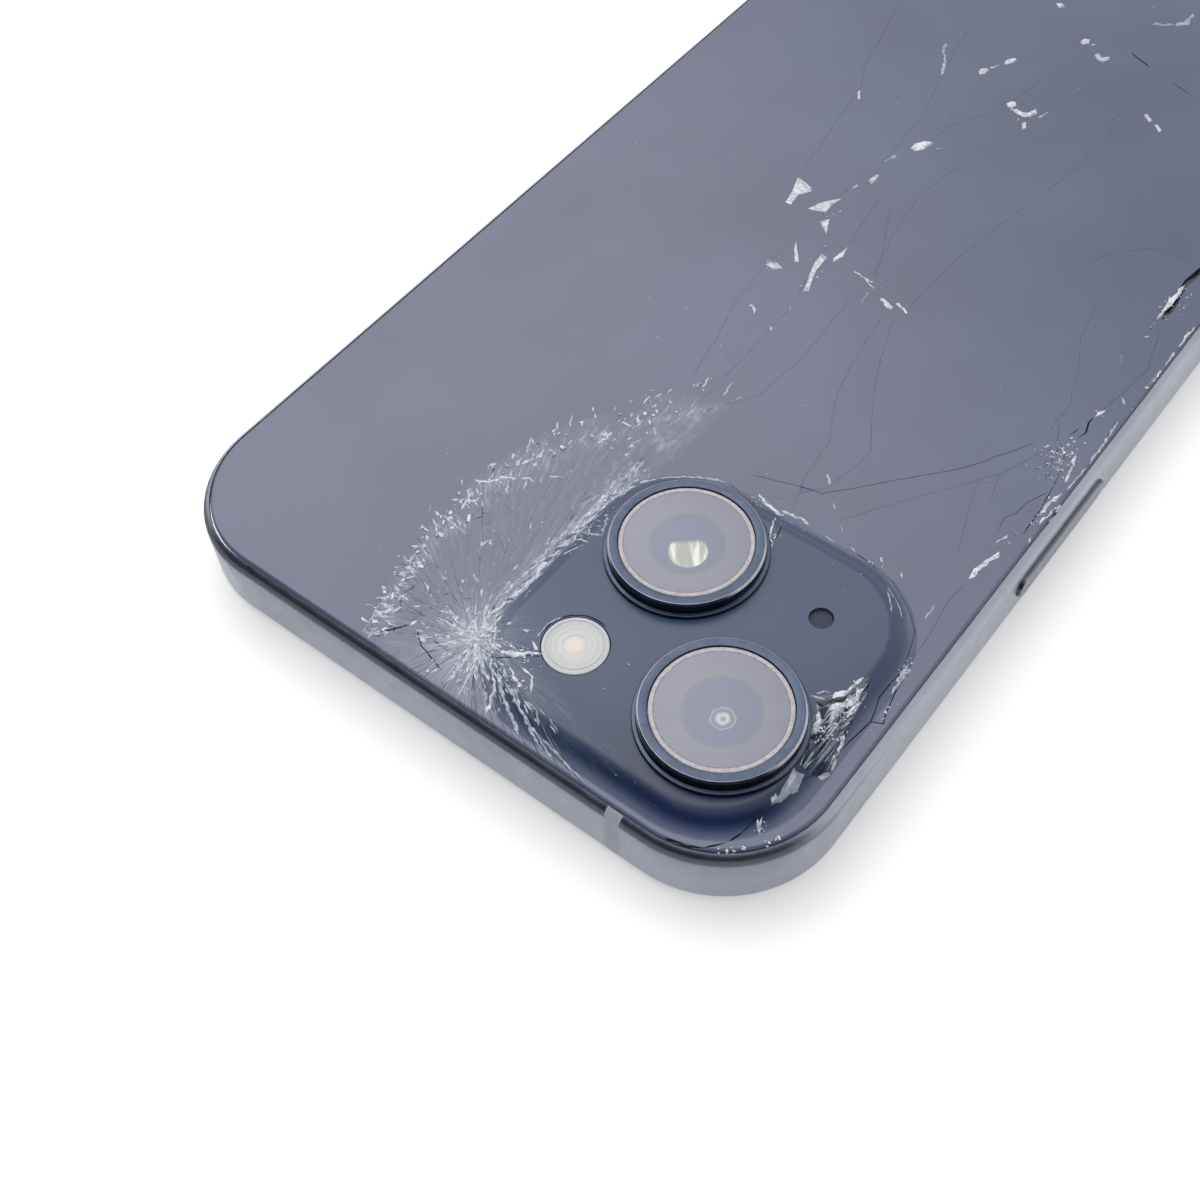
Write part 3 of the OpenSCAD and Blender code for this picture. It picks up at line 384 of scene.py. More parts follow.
def place(mesh, name, body, materials, node=None):
    """A piece made of a mesh, riding on a body, in place of a CAD node if it has one."""
    piece = new_object(mesh, name, materials)
    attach(piece, body)
    if node:
        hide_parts(node)
    return piece


def grid_faces(rows, columns, closed=False):
    """Faces between rows of points, whose ends meet when closed."""
    return [(r * columns + i, r * columns + (i + 1) % columns,
             (r + 1) * columns + (i + 1) % columns, (r + 1) * columns + i)
            for r in range(rows - 1) for i in range(columns if closed else columns - 1)]


# ---------------------------------------------------------------- shape of the back


def round_rect(half, corner, inset=0.0, arc_steps=18, side_steps=6):
    """Points of a round-cornered rectangle, anticlockwise."""
    half_x, half_y = half[0] - inset, half[1] - inset
    r = corner - inset
    centres = [(half_x - r, half_y - r), (r - half_x, half_y - r),
               (r - half_x, r - half_y), (half_x - r, r - half_y)]
    points = []
    for quarter, centre in enumerate(centres):
        turns = [math.radians(90 * (quarter + k / arc_steps)) for k in range(arc_steps + 1)]
        points += [tuple(centre + r * unit(t)) for t in turns]
        following = np.array(centres[(quarter + 1) % 4]) + r * unit(turns[-1])
        last = np.array(points[-1])
        points += [tuple(last + (following - last) * k / side_steps) for k in range(1, side_steps)]
    return np.array(points)


def unit(turn):
    """Unit vector at an angle in radians."""
    return np.array([math.cos(turn), math.sin(turn)])


def circle(at, r, count=72):
    turns = np.linspace(0, 2 * math.pi, count, endpoint=False)
    return np.array(at) + r * np.stack([np.cos(turns), np.sin(turns)], axis=1)


def depth_inside(points, half, corner):
    """How far points lie inside a round-cornered rectangle, negative outside."""
    q = np.abs(points) - (np.asarray(half) - corner)
    return -(np.linalg.norm(np.maximum(q, 0), axis=1) + np.minimum(q.max(axis=1), 0) - corner)


def glass_depth(points):
    return depth_inside(points, GLASS_HALF, GLASS_CORNER)


def plateau_depth(points):
    return depth_inside(points - PLATEAU_AT, PLATEAU_HALF, PLATEAU_CORNER)


def plateau_loop(inset, arc_steps, side_steps):
    return PLATEAU_AT + round_rect(PLATEAU_HALF, PLATEAU_CORNER, inset, arc_steps, side_steps)


def height(points):
    """Height of the unbroken back: flat, with a rounded edge and the plateau's S-shaped flank."""
    share = np.clip(plateau_depth(points) / SHOULDER, 0, 1) ** 0.8
    rise = PLATEAU_H * (1 - np.cos(np.pi * share)) / 2
    edge = np.clip(glass_depth(points), 0, EDGE_ROUND)
    drop = EDGE_ROUND - np.sqrt(np.maximum(EDGE_ROUND**2 - (EDGE_ROUND - edge) ** 2, 0))
    return BACK_Z + rise - drop


def on_back(at, above):
    """A corner so far above the unbroken back."""
    return (at[0], at[1], float(height(np.array(at)[None])[0]) + above)


def slope_normals(points):
    """Normals of the unbroken back."""
    step = 0.004
    gx = (height(points + [step, 0]) - height(points - [step, 0])) / (2 * step)
    gy = (height(points + [0, step]) - height(points - [0, step])) / (2 * step)
    normals = np.stack([-gx, -gy, np.ones(len(points))], axis=1)
    return normals / np.linalg.norm(normals, axis=1)[:, None]


# ---------------------------------------------------------------- the crack network


class Cracks:
    """Crack lines on the back, seen from above, as short stretches with a width and a tone."""

    def __init__(self):
        self.points, self.edges, self.tags = [], [], []

    def line(self, points, width, tone):
        """Adds a run of stretches, as they stand."""
        start = len(self.points)
        self.points += [tuple(p) for p in points]
        for k in range(start, start + len(points) - 1):
            self.edges.append((k, k + 1))
            self.tags.append((width, float(np.clip(tone * rng.uniform(0.5, 1.3), -1, 1))))


def wander(points, sway, step=0.9):
    """A run of points that wanders from side to side of the straight line between them."""
    out = [points[0]]
    for a, b in zip(points[:-1], points[1:]):
        run = b - a
        length = np.linalg.norm(run)
        count = max(1, int(length / step))
        side = np.array([-run[1], run[0]]) / max(length, 1e-9)
        swing = np.cumsum(rng.normal(0, sway, count + 1))
        swing -= np.linspace(swing[0], swing[-1], count + 1)
        out += [a + run * k / count + side * swing[k] for k in range(1, count + 1)]
    return np.array(out)


HAIR, FINE, OPEN, WIDE = 0.03, 0.06, 0.10, 0.18

# Cracks: width, tone (-1 dark, a painted shade in the open crack; 0 like the glass; 1 white), then the points
# each runs through
CRACKS = [
    # down the middle, from under the plateau to the lower half
    (HAIR, 0.3, [(0.3, 42), (0.7, 36), (0.3, 29), (0.3, 22), (0.5, 18.5), (0.5, 14), (1, 12), (1.5, 10)]),
    (HAIR, 0.3, [(2.8, 29.5), (5.7, 17.3), (6.2, 9.3), (5.6, 6.2)]),
    (HAIR, 0.1, [(1.5, 10), (1.8, 6.5), (0.5, 6), (0.3, 4.5), (3.4, 3.2), (5, 1.5), (6, 0.5), (5.6, -5.2)]),
    (HAIR, 0.25, [(5.1, -5.4), (4.3, -7), (4.8, -10), (5.0, -14), (5.5, -20), (7.5, -27), (9.5, -38)]),
    (HAIR, 0.25, [(11.3, -3), (12.5, -10), (14, -20), (16, -24), (19, -36)]),
    (HAIR, 0.2, [(2.8, -14), (2.0, -20), (-1.5, -26), (-2.5, -34), (-4.5, -41)]),
    (HAIR, 0.2, [(1.9, -5.2), (1.3, 0), (0.6, 3.6)]), (HAIR, 0.2, [(0.5, -4.9), (-2.4, 1), (-4.6, 6.4)]),
    (WIDE, -1.0, [(-8.3, -43.8), (-10.1, -43), (-11.8, -42.3)]),
    (OPEN, -0.6, [(-14.7, -41.3), (-18.1, -40.3)]),
    # long faint cracks between the middle and the side button
    (HAIR, 0.2, [(-9, 10), (-13, 20), (-17, 27), (-16, 33), (-12.5, 37.5)]),
    (HAIR, 0.25, [(-8, 10), (-9, 17), (-10, 22), (-13, 28), (-13.5, 33), (-15, 38)]),
    (HAIR, 0.25, [(-4, 10), (-4.5, 20), (-4, 27), (-2, 30), (0.2, 33)]),
    (FINE, -0.3, [(-29.3, 16.4), (-27.4, 19.7), (-26.3, 21.8), (-23.7, 25.2), (-16, 34), (-9, 36)]),
    (HAIR, 0.1, [(-30.4, 16.9), (-28.6, 21.7), (-25.7, 26), (-21.5, 32), (-19, 36)]),
    (HAIR, 0.2, [(-28.3, 21.9), (-28.8, 23.5), (-29.4, 25.8)]),
    (HAIR, 0.25, [(-27.2, 23.6), (-27.5, 25.5), (-28.7, 28.8), (-30, 32.5)]),
    (HAIR, 0.25, [(-9.5, 8.5), (-10, -2), (-11.5, -12), (-13, -20), (-13.5, -31)]),
    (HAIR, 0.25, [(-4, 6.5), (-2.5, 0), (-1.5, -8), (-3, -17)]),
    (HAIR, 0.1, [(-21.5, -8.4), (-22.3, -10.6), (-23.5, -12.3), (-25.5, -14.4), (-28, -15), (-31, -15)]),
    (HAIR, 0.3, [(-29.6, 15), (-29.5, 10), (-26, 1.5), (-25, -4)]),
    # down the side button's edge, from the plateau's corner
    (HAIR, -0.5, [(-32.8, 45), (-32.4, 40), (-32.1, 37.6), (-32.3, 34.9)]),
    (FINE, -0.7, [(-31.7, 28.3), (-31.4, 26.4), (-32, 25.4), (-32.2, 23.6), (-33.3, 21)]),
    (OPEN, -0.9, [(-33.8, 27.4), (-33.7, 25.2), (-33.4, 21.6)]),
    (FINE, 0.3, [(-33.4, 21.6), (-33.1, 19.5), (-32.2, 16.1), (-31.5, 15.5), (-30.8, 15.3), (-29.7, 12.8)]),
    (WIDE, -1.0, [(-32.2, 13.8), (-32.5, 12.6), (-32.1, 11.3)]),
    (OPEN, -0.9, [(-31.3, 14.1), (-31.6, 13.2), (-31.7, 12.4)]),
    (HAIR, -0.3, [(-32.1, 11.3), (-33.0, 6), (-33.5, 2), (-32.4, -2.8), (-31.3, -5.0)]),
    (FINE, 0.4, [(-34.1, 9.4), (-34.5, 13), (-34.7, 16.4), (-34.5, 20.4)]),
    (WIDE, -1.0, [(-31.7, -14.8), (-32.4, -17), (-33.4, -19.5), (-34.8, -22)]),
    # round the foot of the plateau
    (OPEN, -1.0, [(-33.1, 47.9), (-33.6, 49.8), (-33.9, 51.3), (-34.3, 52.3), (-33.3, 52.8),
        (-33.1, 54.6), (-32.9, 57)]),
    (OPEN, -1.0, [(-33.3, 52.8), (-32.7, 50.6), (-32.7, 49), (-32.8, 47.4)]),
    (OPEN, 0.3, [(-32.8, 47.4), (-32.3, 45), (-31.5, 42.6), (-30, 41), (-27, 39), (-25.1, 38.7)]),
    (OPEN, -0.8, [(-25.1, 38.7), (-22.6, 38.1)]),
    (FINE, 0.3, [(-26.4, 39.4), (-24.1, 38.9), (-19.8, 39), (-15.6, 39.1), (-12.7, 38.5), (-10.6, 38.8),
        (-8, 38)]),
    (WIDE, 0.8, [(-7.8, 38), (-5, 39.4), (-2.4, 41.6), (-1.2, 43.2), (-0.3, 47), (0.1, 52.8), (-0.1, 59),
        (0.5, 63.5)]), (OPEN, -0.9, [(-15.7, 40.5), (-16.1, 42.1)]),
    # from the impact to the flash, and from the crushed corner round to the end
    (WIDE, -0.8, [(-6.7, 65.1), (-5.3, 66.0), (-4.6, 66.8), (-3.5, 67.5), (-1.5, 67.4)]),
    (FINE, 0.5, [(-6.2, 64.6), (-4.6, 65.6), (-3.4, 65.9), (-0.2, 66.2)]),
    (WIDE, -1.0, [(-31.0, 66.4), (-30.6, 68.2), (-30.1, 69.5), (-29.4, 70.4), (-28.8, 71.1),
        (-27.5, 71.8), (-25.5, 72.3)]),
    (FINE, -0.6, [(-33.4, 59.1), (-32.2, 61), (-31.5, 64.5), (-31.0, 66.4)]),
    # curling dark cracks between the impact and the far end
    (WIDE, -1.0, [(7.9, 71.1), (7.3, 70.8), (6.4, 69.6), (5.8, 68.6)]),
    (WIDE, -1.0, [(4.9, 68.8), (3.5, 69.9), (1.0, 70.6), (0.1, 70.8)]),
    (OPEN, -0.8, [(3.2, 68.8), (1.6, 68.9), (0.3, 68.8)]),
]

# Where glass has been crushed, and where it has opened
CHUNK = [
    (-33.3, 59.3), (-32.5, 60.5), (-31.2, 60.6), (-30.6, 58.6), (-29.6, 56.8), (-29.5, 55.4), (-28.5, 54.4),
    (-29.7, 53.2), (-30.3, 52.5), (-30.8, 50.9), (-31.2, 49.7), (-31.8, 51.3), (-32.1, 53.5), (-32.7, 56.5),
]
SLIT = [
    (-31.5, -5.4), (-31.85, -7.2), (-31.65, -9.0), (-31.35, -11.5), (-31.9, -14.9), (-31.2, -14.7),
    (-30.8, -12.2), (-30.9, -9.5), (-31.2, -7.0),
]

# The fan of fine cracks: angle from +X in degrees, and how far it reaches from the impact
FAN_REACH = [(-92, 37.0), (-83, 34.7), (-79, 31.1), (-70, 27.2), (-63, 24.1), (-52, 19.8),
             (-37, 15.7), (-21, 12.4), (8, 10.1), (27, 10.1), (40, 9.0)]
FAN_ANGLES, FAN_REACHES = zip(*FAN_REACH)


def fan_reach(angle):
    return np.interp(angle, FAN_ANGLES, FAN_REACHES)


def polar(angle, reach):
    """A place so far from the impact, at an angle in degrees."""
    return STAR + reach * unit(math.radians(angle))


def radial_angle(at):
    return math.degrees(math.atan2(at[1] - STAR[1], at[0] - STAR[0]))


FAN_RAYS = 34
FAN_FROM, FAN_TO = -90, 32
SHORTEST_RAY = 2.0
LINK_LENGTHS = (0.1, 2.6)


def fan_cracks(cracks):
    """Rays from the impact, and links between them."""
    rays = []
    for angle in np.sort(rng.uniform(FAN_FROM, FAN_TO, FAN_RAYS)):
        edge = fan_reach(angle)
        start = rng.choice([0.8, 2.0, 4.0, 0.3 * edge, 0.5 * edge], p=[0.12, 0.18, 0.24, 0.22, 0.24])
        end = edge * rng.uniform(0.75, 1.0)
        if end - start < SHORTEST_RAY:
            continue
        bend = rng.normal(0, 1.6)
        share = np.linspace(0, 1, max(3, int((end - start) / 1.1)))
        straight = [polar(angle + bend * t, start + (end - start) * t) for t in share]
        ray = wander(np.array(straight), 0.035, 0.7)
        width = rng.choice([HAIR, FINE], p=[0.75, 0.25])
        cracks.line(ray, width, rng.choice([-0.4, 0.8, 1.0], p=[0.05, 0.35, 0.6]))
        rays.append(ray)
    for a, b in zip(rays[:-1], rays[1:]):
        for _ in range(rng.integers(1, 4)):
            p = a[rng.integers(1, len(a))]
            q = b[np.argmin(np.linalg.norm(b - p - rng.normal(0, 0.25, 2), axis=1))]
            if LINK_LENGTHS[0] < np.linalg.norm(p - q) < LINK_LENGTHS[1]:
                points = wander(np.array([p, q]), 0.04, 0.5)
                cracks.line(points, HAIR, rng.choice([0.3, 0.8], p=[0.5, 0.5]))


WIDE_BURSTS, NEAR_BURSTS = 30, 12


def end_bursts(cracks):
    """Streaks from the impact to the top end."""
    for x in list(rng.uniform(-17.5, 4, WIDE_BURSTS)) + list(rng.uniform(-8, 0, NEAR_BURSTS)):
        end = np.array([x, GLASS_HALF[1] - rng.choice([0.12, rng.uniform(0.5, 4)])])
        start = STAR + (end - STAR) * rng.uniform(0.15, 0.45)
        points = wander(np.array([start, end]), 0.04, 0.6)
        cracks.line(points, rng.choice([HAIR, FINE]), rng.uniform(-0.2, 1.0))


FLANK_CRACKS = 110


def flank_crush(cracks):
    """Short steep cracks that crowd the foot of the plateau."""
    for _ in range(FLANK_CRACKS):
        at = np.array([rng.normal(0.45, 0.5), rng.uniform(41.5, 66)])
        turn = math.radians(rng.normal(-88, 16))
        points = wander(np.array([at, at + rng.uniform(0.4, 1.8) * unit(turn)]), 0.04, 0.4)
        cracks.line(points, rng.uniform(HAIR, OPEN), rng.uniform(-0.1, 1.0))


# crushed places along the edge: middle, reach and how many cracks
EDGE_SPOTS = (((-32.0, 17.3), 1.9, 46), ((-33.3, 24.5), 1.6, 12), ((-32.8, 46.5), 0.7, 12))


def edge_crush(cracks):
    """Crushed mesh along the side button's edge."""
    for centre, reach, count in EDGE_SPOTS:
        for _ in range(count):
            at = np.array(centre) + rng.normal(0, reach * 0.45, 2) * [0.6, 1.4]
            turn = math.radians(rng.uniform(40, 130))
            points = wander(np.array([at, at + rng.uniform(0.3, 1.0) * unit(turn)]), 0.04, 0.4)
            cracks.line(points, FINE, rng.uniform(-0.6, 1.0))


def all_cracks():
    """Every crack: a crescent by the flash, those laid out above, and the crushed places."""
    cracks = Cracks()
    turns = np.radians(np.arange(-110, 25, 9))
    # a wide crack round the flash, painted near black as shade
    cracks.line([FLASH_AT + (FLASH_HOLE_R + 0.14) * unit(t) for t in turns], WIDE, -1.0)
    for width, tone, points in CRACKS:
        cracks.line(wander(np.array(points, float), 0.06), width, tone)
    for add_cracks in (fan_cracks, end_bursts, flank_crush, edge_crush):
        add_cracks(cracks)
    return cracks


# ---------------------------------------------------------------- the shattered glass


def inside_polygon(points, polygon):
    """Which points lie inside a polygon."""
    x, y = points[:, 0], points[:, 1]
    found = np.zeros(len(points), bool)
    for (x0, y0), (x1, y1) in zip(polygon, np.roll(polygon, -1, axis=0)):
        crosses = (y0 > y) != (y1 > y)
        with np.errstate(divide="ignore", invalid="ignore"):
            found ^= crosses & (x < x0 + (y - y0) * (x1 - x0) / (y1 - y0))
    return found


# insets of the loops that shape the glass's edge and the top of the plateau
EDGE_LOOPS = (0.0, 0.03, 0.09, 0.18, EDGE_ROUND)
TOP_LOOPS = (3.4, 4.4, 5.6, 7.0)
# loose points round the impact, outside the fan
WEB_REACHES = (1.5, 3, 5, 7, 9.5, 12, 15)
WEB_ANGLES = range(42, 266, 7)
# angles of the loops along the fan's rim, and how far outside it the outer one runs
RIM_ANGLES = np.arange(-94, 43, 2.0)
RIM_OUTSET = 0.4
# grid of the loose points in the crushed chunk, and how far they stray from it
LOOSE_STEP = (0.6, 0.75)
LOOSE_STRAY = 0.2
MERGE_WITHIN = 1e-4


class Plan:
    """The back seen from above, cut into triangles along its outlines and cracks."""

    def __init__(self, cracks):
        self.points, self.edges, self.tags = [], [], []
        for inset in EDGE_LOOPS:
            self.loop(round_rect(GLASS_HALF, GLASS_CORNER, inset))
        for inset in np.linspace(0, SHOULDER, 15):
            self.loop(plateau_loop(inset, 12, 4))
        for at, r in HOLES:
            self.loop(circle(at, r))
        self.loop(CHUNK, (FINE, 0.9))
        self.loop(SLIT, (FINE, -1.0))
        rim, outer = ([polar(angle, fan_reach(angle) + outset) for angle in RIM_ANGLES]
                      for outset in (0.0, RIM_OUTSET))
        self.loop(rim + [STAR])
        self.loop(outer + outer[::-1])
        for inset in TOP_LOOPS:
            self.loop(plateau_loop(inset, 8, 3))
        web = np.array([polar(angle, reach) for reach in WEB_REACHES for angle in WEB_ANGLES])
        self.points += [tuple(p) for p in web[glass_depth(web) > 0.4]]
        start = len(self.points)
        self.points += cracks.points
        self.edges += [(a + start, b + start) for a, b in cracks.edges]
        self.tags += cracks.tags
        self.scatter()
        self.cut()

    def loop(self, points, tag=None):
        start = len(self.points)
        self.points += [tuple(p) for p in points]
        count = len(points)
        self.edges += [(start + k, start + (k + 1) % count) for k in range(count)]
        self.tags += [tag] * count

    def scatter(self):
        """Loose points that roughen the crushed chunk."""
        low, high = np.min(CHUNK, axis=0), np.max(CHUNK, axis=0)
        across, along = (np.arange(low[k], high[k], LOOSE_STEP[k]) for k in (0, 1))
        grid = np.stack(np.meshgrid(across, along), axis=-1).reshape(-1, 2)
        loose = grid + rng.uniform(-LOOSE_STRAY, LOOSE_STRAY, grid.shape)
        self.points += [tuple(p) for p in loose[inside_polygon(loose, np.array(CHUNK))]]

    def cut(self):
        """Constrained triangulation, kept where there is glass."""
        result = delaunay_2d_cdt([Vector(p) for p in self.points], self.edges, [], 0, MERGE_WITHIN)
        points = np.array([tuple(p) for p in result[0]])
        triangles = np.array([f for f in result[2] if len(f) == 3])
        centres = points[triangles].mean(axis=1)
        keep = glass_depth(centres) > 0
        for at, r in HOLES:
            keep &= np.linalg.norm(centres - at, axis=1) > r * 0.999
        self.points, self.triangles = points, triangles[keep]
        self.crack_of = {}
        for (a, b), origins in zip(result[1], result[4]):
            tags = [self.tags[k] for k in origins if k < len(self.tags) and self.tags[k]]
            if tags:
                self.crack_of[frozenset((a, b))] = max(tags)


class Sets:
    """Groups that are joined two at a time."""

    def __init__(self, count):
        self.parent = list(range(count))

    def find(self, a):
        while self.parent[a] != a:
            self.parent[a] = self.parent[self.parent[a]]
            a = self.parent[a]
        return a

    def join(self, a, b):
        self.parent[self.find(b)] = self.find(a)

    def labels(self):
        roots = np.array([self.find(a) for a in range(len(self.parent))])
        return np.unique(roots, return_inverse=True)[1]


# a groove's depth for its width, its least and greatest depth, and how far grooves may narrow a triangle
GROOVE_RATIO = 1.4
GROOVE_DEPTHS = (0.03, 0.3)
NARROWED = 0.3
# where the normals of the cracks at a point nearly cancel out, it stays in place
LEAST_NORMAL = 0.45
# shards under this area are loose: they tilt, less the larger they are, and settle a little
SHARD_AREA = 9.0
TILT, GREATEST_TILT, SETTLE = 0.03, 0.035, 0.012
# lowest and highest points of the crushed chunk and of the open slit, and the floor below both
CHUNK_Z = (BACK_Z - 0.05, BACK_Z + 0.8)
SLIT_Z = (BACK_Z - 0.5, BACK_Z - 0.4)
HOLLOW_FLOOR = BACK_Z - 0.55


class Shards:
    """The plan cut apart at its cracks, where each shard has its own copies of the points that it shares."""

    def __init__(self, plan):
        self.points, self.triangles, self.crack_of = plan.points, plan.triangles, plan.crack_of
        a, b, c = (self.points[self.triangles[:, k]] for k in range(3))
        area = 0.5 * ((b - a)[:, 0] * (c - a)[:, 1] - (b - a)[:, 1] * (c - a)[:, 0])
        self.triangles[area < 0] = self.triangles[area < 0][:, ::-1]
        self.area = np.abs(area)
        self.centres = self.points[self.triangles].mean(axis=1)
        self.split()
        self.open_grooves()
        self.settle()
        self.sink_hollows()

    def split(self):
        """Gives each shard its own copy of a point."""
        self.sides = {}
        for t, corners in enumerate(self.triangles):
            for k in range(3):
                self.sides.setdefault(frozenset((corners[k], corners[(k + 1) % 3])), []).append((t, k))
        corner_sets, shard_sets = Sets(3 * len(self.triangles)), Sets(len(self.triangles))
        for edge, users in self.sides.items():
            if len(users) == 2 and edge not in self.crack_of:
                (t, k), (u, m) = users
                corner_sets.join(3 * t + k, 3 * u + (m + 1) % 3)
                corner_sets.join(3 * t + (k + 1) % 3, 3 * u + m)
                shard_sets.join(t, u)
        self.copy_of, self.shard_of = corner_sets.labels(), shard_sets.labels()
        self.copies = self.copy_of.max() + 1
        self.base = np.zeros(self.copies, int)
        self.base[self.copy_of] = self.triangles.reshape(-1)
        self.shared = np.bincount(self.base, minlength=len(self.points)) > 1

    def open_grooves(self):
        """Moves each copy of a point back from the cracks beside it."""
        inward = np.zeros((self.copies, 2))
        half_width = np.zeros(self.copies)
        self.walls = []
        for edge, (width, tone) in self.crack_of.items():
            users = self.sides.get(edge, [])
            if len(users) != 2:
                continue
            for t, k in users:
                p, q = self.points[self.triangles[t, k]], self.points[self.triangles[t, (k + 1) % 3]]
                run = (q - p) / max(np.linalg.norm(q - p), 1e-9)
                ends = self.copy_of[3 * t + k], self.copy_of[3 * t + (k + 1) % 3]
                for end in ends:
                    inward[end] += [-run[1], run[0]]
                    half_width[end] = max(half_width[end], width / 2)
                self.walls.append((ends, tone))
        reach = np.full(self.copies, 9.0)
        for k in range(3):
            a, b = (self.points[self.triangles[:, m % 3]] for m in (k, k + 1))
            length = np.linalg.norm(b - a, axis=1)
            for corner in (k, (k + 1) % 3):
                np.minimum.at(reach, self.copy_of[corner::3], length)
        size = np.linalg.norm(inward, axis=1)
        scale = np.where(size > LEAST_NORMAL, 2 * half_width / np.maximum(size, 1e-6) ** 2, 0)
        scale = np.where(np.abs(size - 1) < 1e-3, half_width, scale)
        shift = inward * scale[:, None]
        length = np.linalg.norm(shift, axis=1)
        shift *= (np.minimum(1, NARROWED * reach / np.maximum(length, 1e-9)))[:, None]
        self.xy = self.points[self.base] + shift
        groove = np.zeros(len(self.points))
        np.maximum.at(groove, self.base, GROOVE_RATIO * 2 * half_width)
        depth = np.where(self.shared, np.clip(groove, *GROOVE_DEPTHS), 0)
        self.floor_z = np.minimum(height(self.points) - depth, PLATEAU_Z)

    def settle(self):
        """Tilts and settles the small shards a little."""
        shard_area = np.bincount(self.shard_of, self.area)
        sums = [np.bincount(self.shard_of, self.area * self.centres[:, k]) for k in (0, 1)]
        middles = np.stack(sums, axis=1) / shard_area[:, None]
        loose = shard_area < SHARD_AREA
        tilt_size = np.minimum(GREATEST_TILT, TILT / np.sqrt(np.maximum(shard_area, 1e-3)))
        tilt = rng.normal(0, 1, (len(shard_area), 2)) * (tilt_size * loose)[:, None]
        settle = rng.normal(0, SETTLE, len(shard_area)) * loose
        shard = np.zeros(self.copies, int)
        shard[self.copy_of] = np.repeat(self.shard_of, 3)
        self.z = height(self.xy) + settle[shard] + ((self.xy - middles[shard]) * tilt[shard]).sum(axis=1)
        self.normals = slope_normals(self.xy)
        self.normals[:, :2] -= tilt[shard]

    def sink_hollows(self):
        """Roughens the crushed chunk and sinks the open slit."""
        self.crushed, self.slit = (inside_polygon(self.centres, np.array(outline))
                                   for outline in (CHUNK, SLIT))
        near = np.zeros(len(self.points), bool)
        for faces, heights in ((self.crushed, CHUNK_Z), (self.slit, SLIT_Z)):
            hit = np.zeros(self.copies, bool)
            hit[self.copy_of.reshape(-1, 3)[faces].reshape(-1)] = True
            self.z[hit] = rng.uniform(*heights, hit.sum())
            near[self.triangles[faces].reshape(-1)] = True
        self.floor_z[near] = np.minimum(self.floor_z[near], HOLLOW_FLOOR)


SLATE_SLOT, WALL_SLOT, CRUSHED_SLOT = 0, 1, 2
CRUSHED_TONES = (-0.1, 0.3, 0.7)
MILKY_SHARE = 0.25


def clear_share(y):
    """Share of clear facets in the crushed chunk, larger towards the top end."""
    return float(np.clip(0.1 + 0.09 * (y - 52), 0.1, 0.75))


def craze_at(points):
    """How crazed the glass is: 1 at the impact, 0 where it is whole."""
    x, y = points[:, 0], points[:, 1]
    offset = points - STAR
    reach = np.linalg.norm(offset, axis=1)
    angle = np.degrees(np.arctan2(offset[:, 1], offset[:, 0]))
    edge = fan_reach(angle)
    fan = np.clip((edge - reach) / 1.6, 0, 1) * ((angle > -94) & (angle < 42))
    rim = np.exp(-(((reach - 0.88 * edge) / (0.11 * edge)) ** 2))
    core = np.exp(-((reach / 3.6) ** 2))
    burst = np.exp(-reach / 6.0) * ((angle > 42) & (angle < 175))
    foot = np.exp(-(((x - 0.5) / 1.0) ** 2)) * np.clip((y - 41) / 3, 0, 1) * np.clip((67 - y) / 2, 0, 1)
    return np.clip(fan * (0.14 + 0.5 * rim) + core + 0.9 * burst + 0.7 * foot, 0, 1)


# towards the nearest corner of the body, and how far the painted shade on the plateau grows that way
TO_CORNER = np.array([-0.66, 0.75])
TO_CORNER_REACH = 15


def paint_tones(mesh, at):
    """Attributes of the back glass that its materials read, at places seen from above."""
    depth = plateau_depth(at)
    frost = np.clip((depth - 0.5) / 0.9, 0, 1)
    to_corner = np.clip((at - PLATEAU_AT) @ TO_CORNER / TO_CORNER_REACH, 0, 1)
    # deep: painted shade on the plateau, strongest towards the body's nearest corner and near the plateau's
    # edge
    set_attribute(mesh, "deep", "POINT", to_corner * frost * np.clip(1 - (depth - 3.0) / 5.0, 0, 1) ** 0.6)
    set_attribute(mesh, "frost", "POINT", frost * frost * (3 - 2 * frost))
    set_attribute(mesh, "craze", "POINT", craze_at(at))


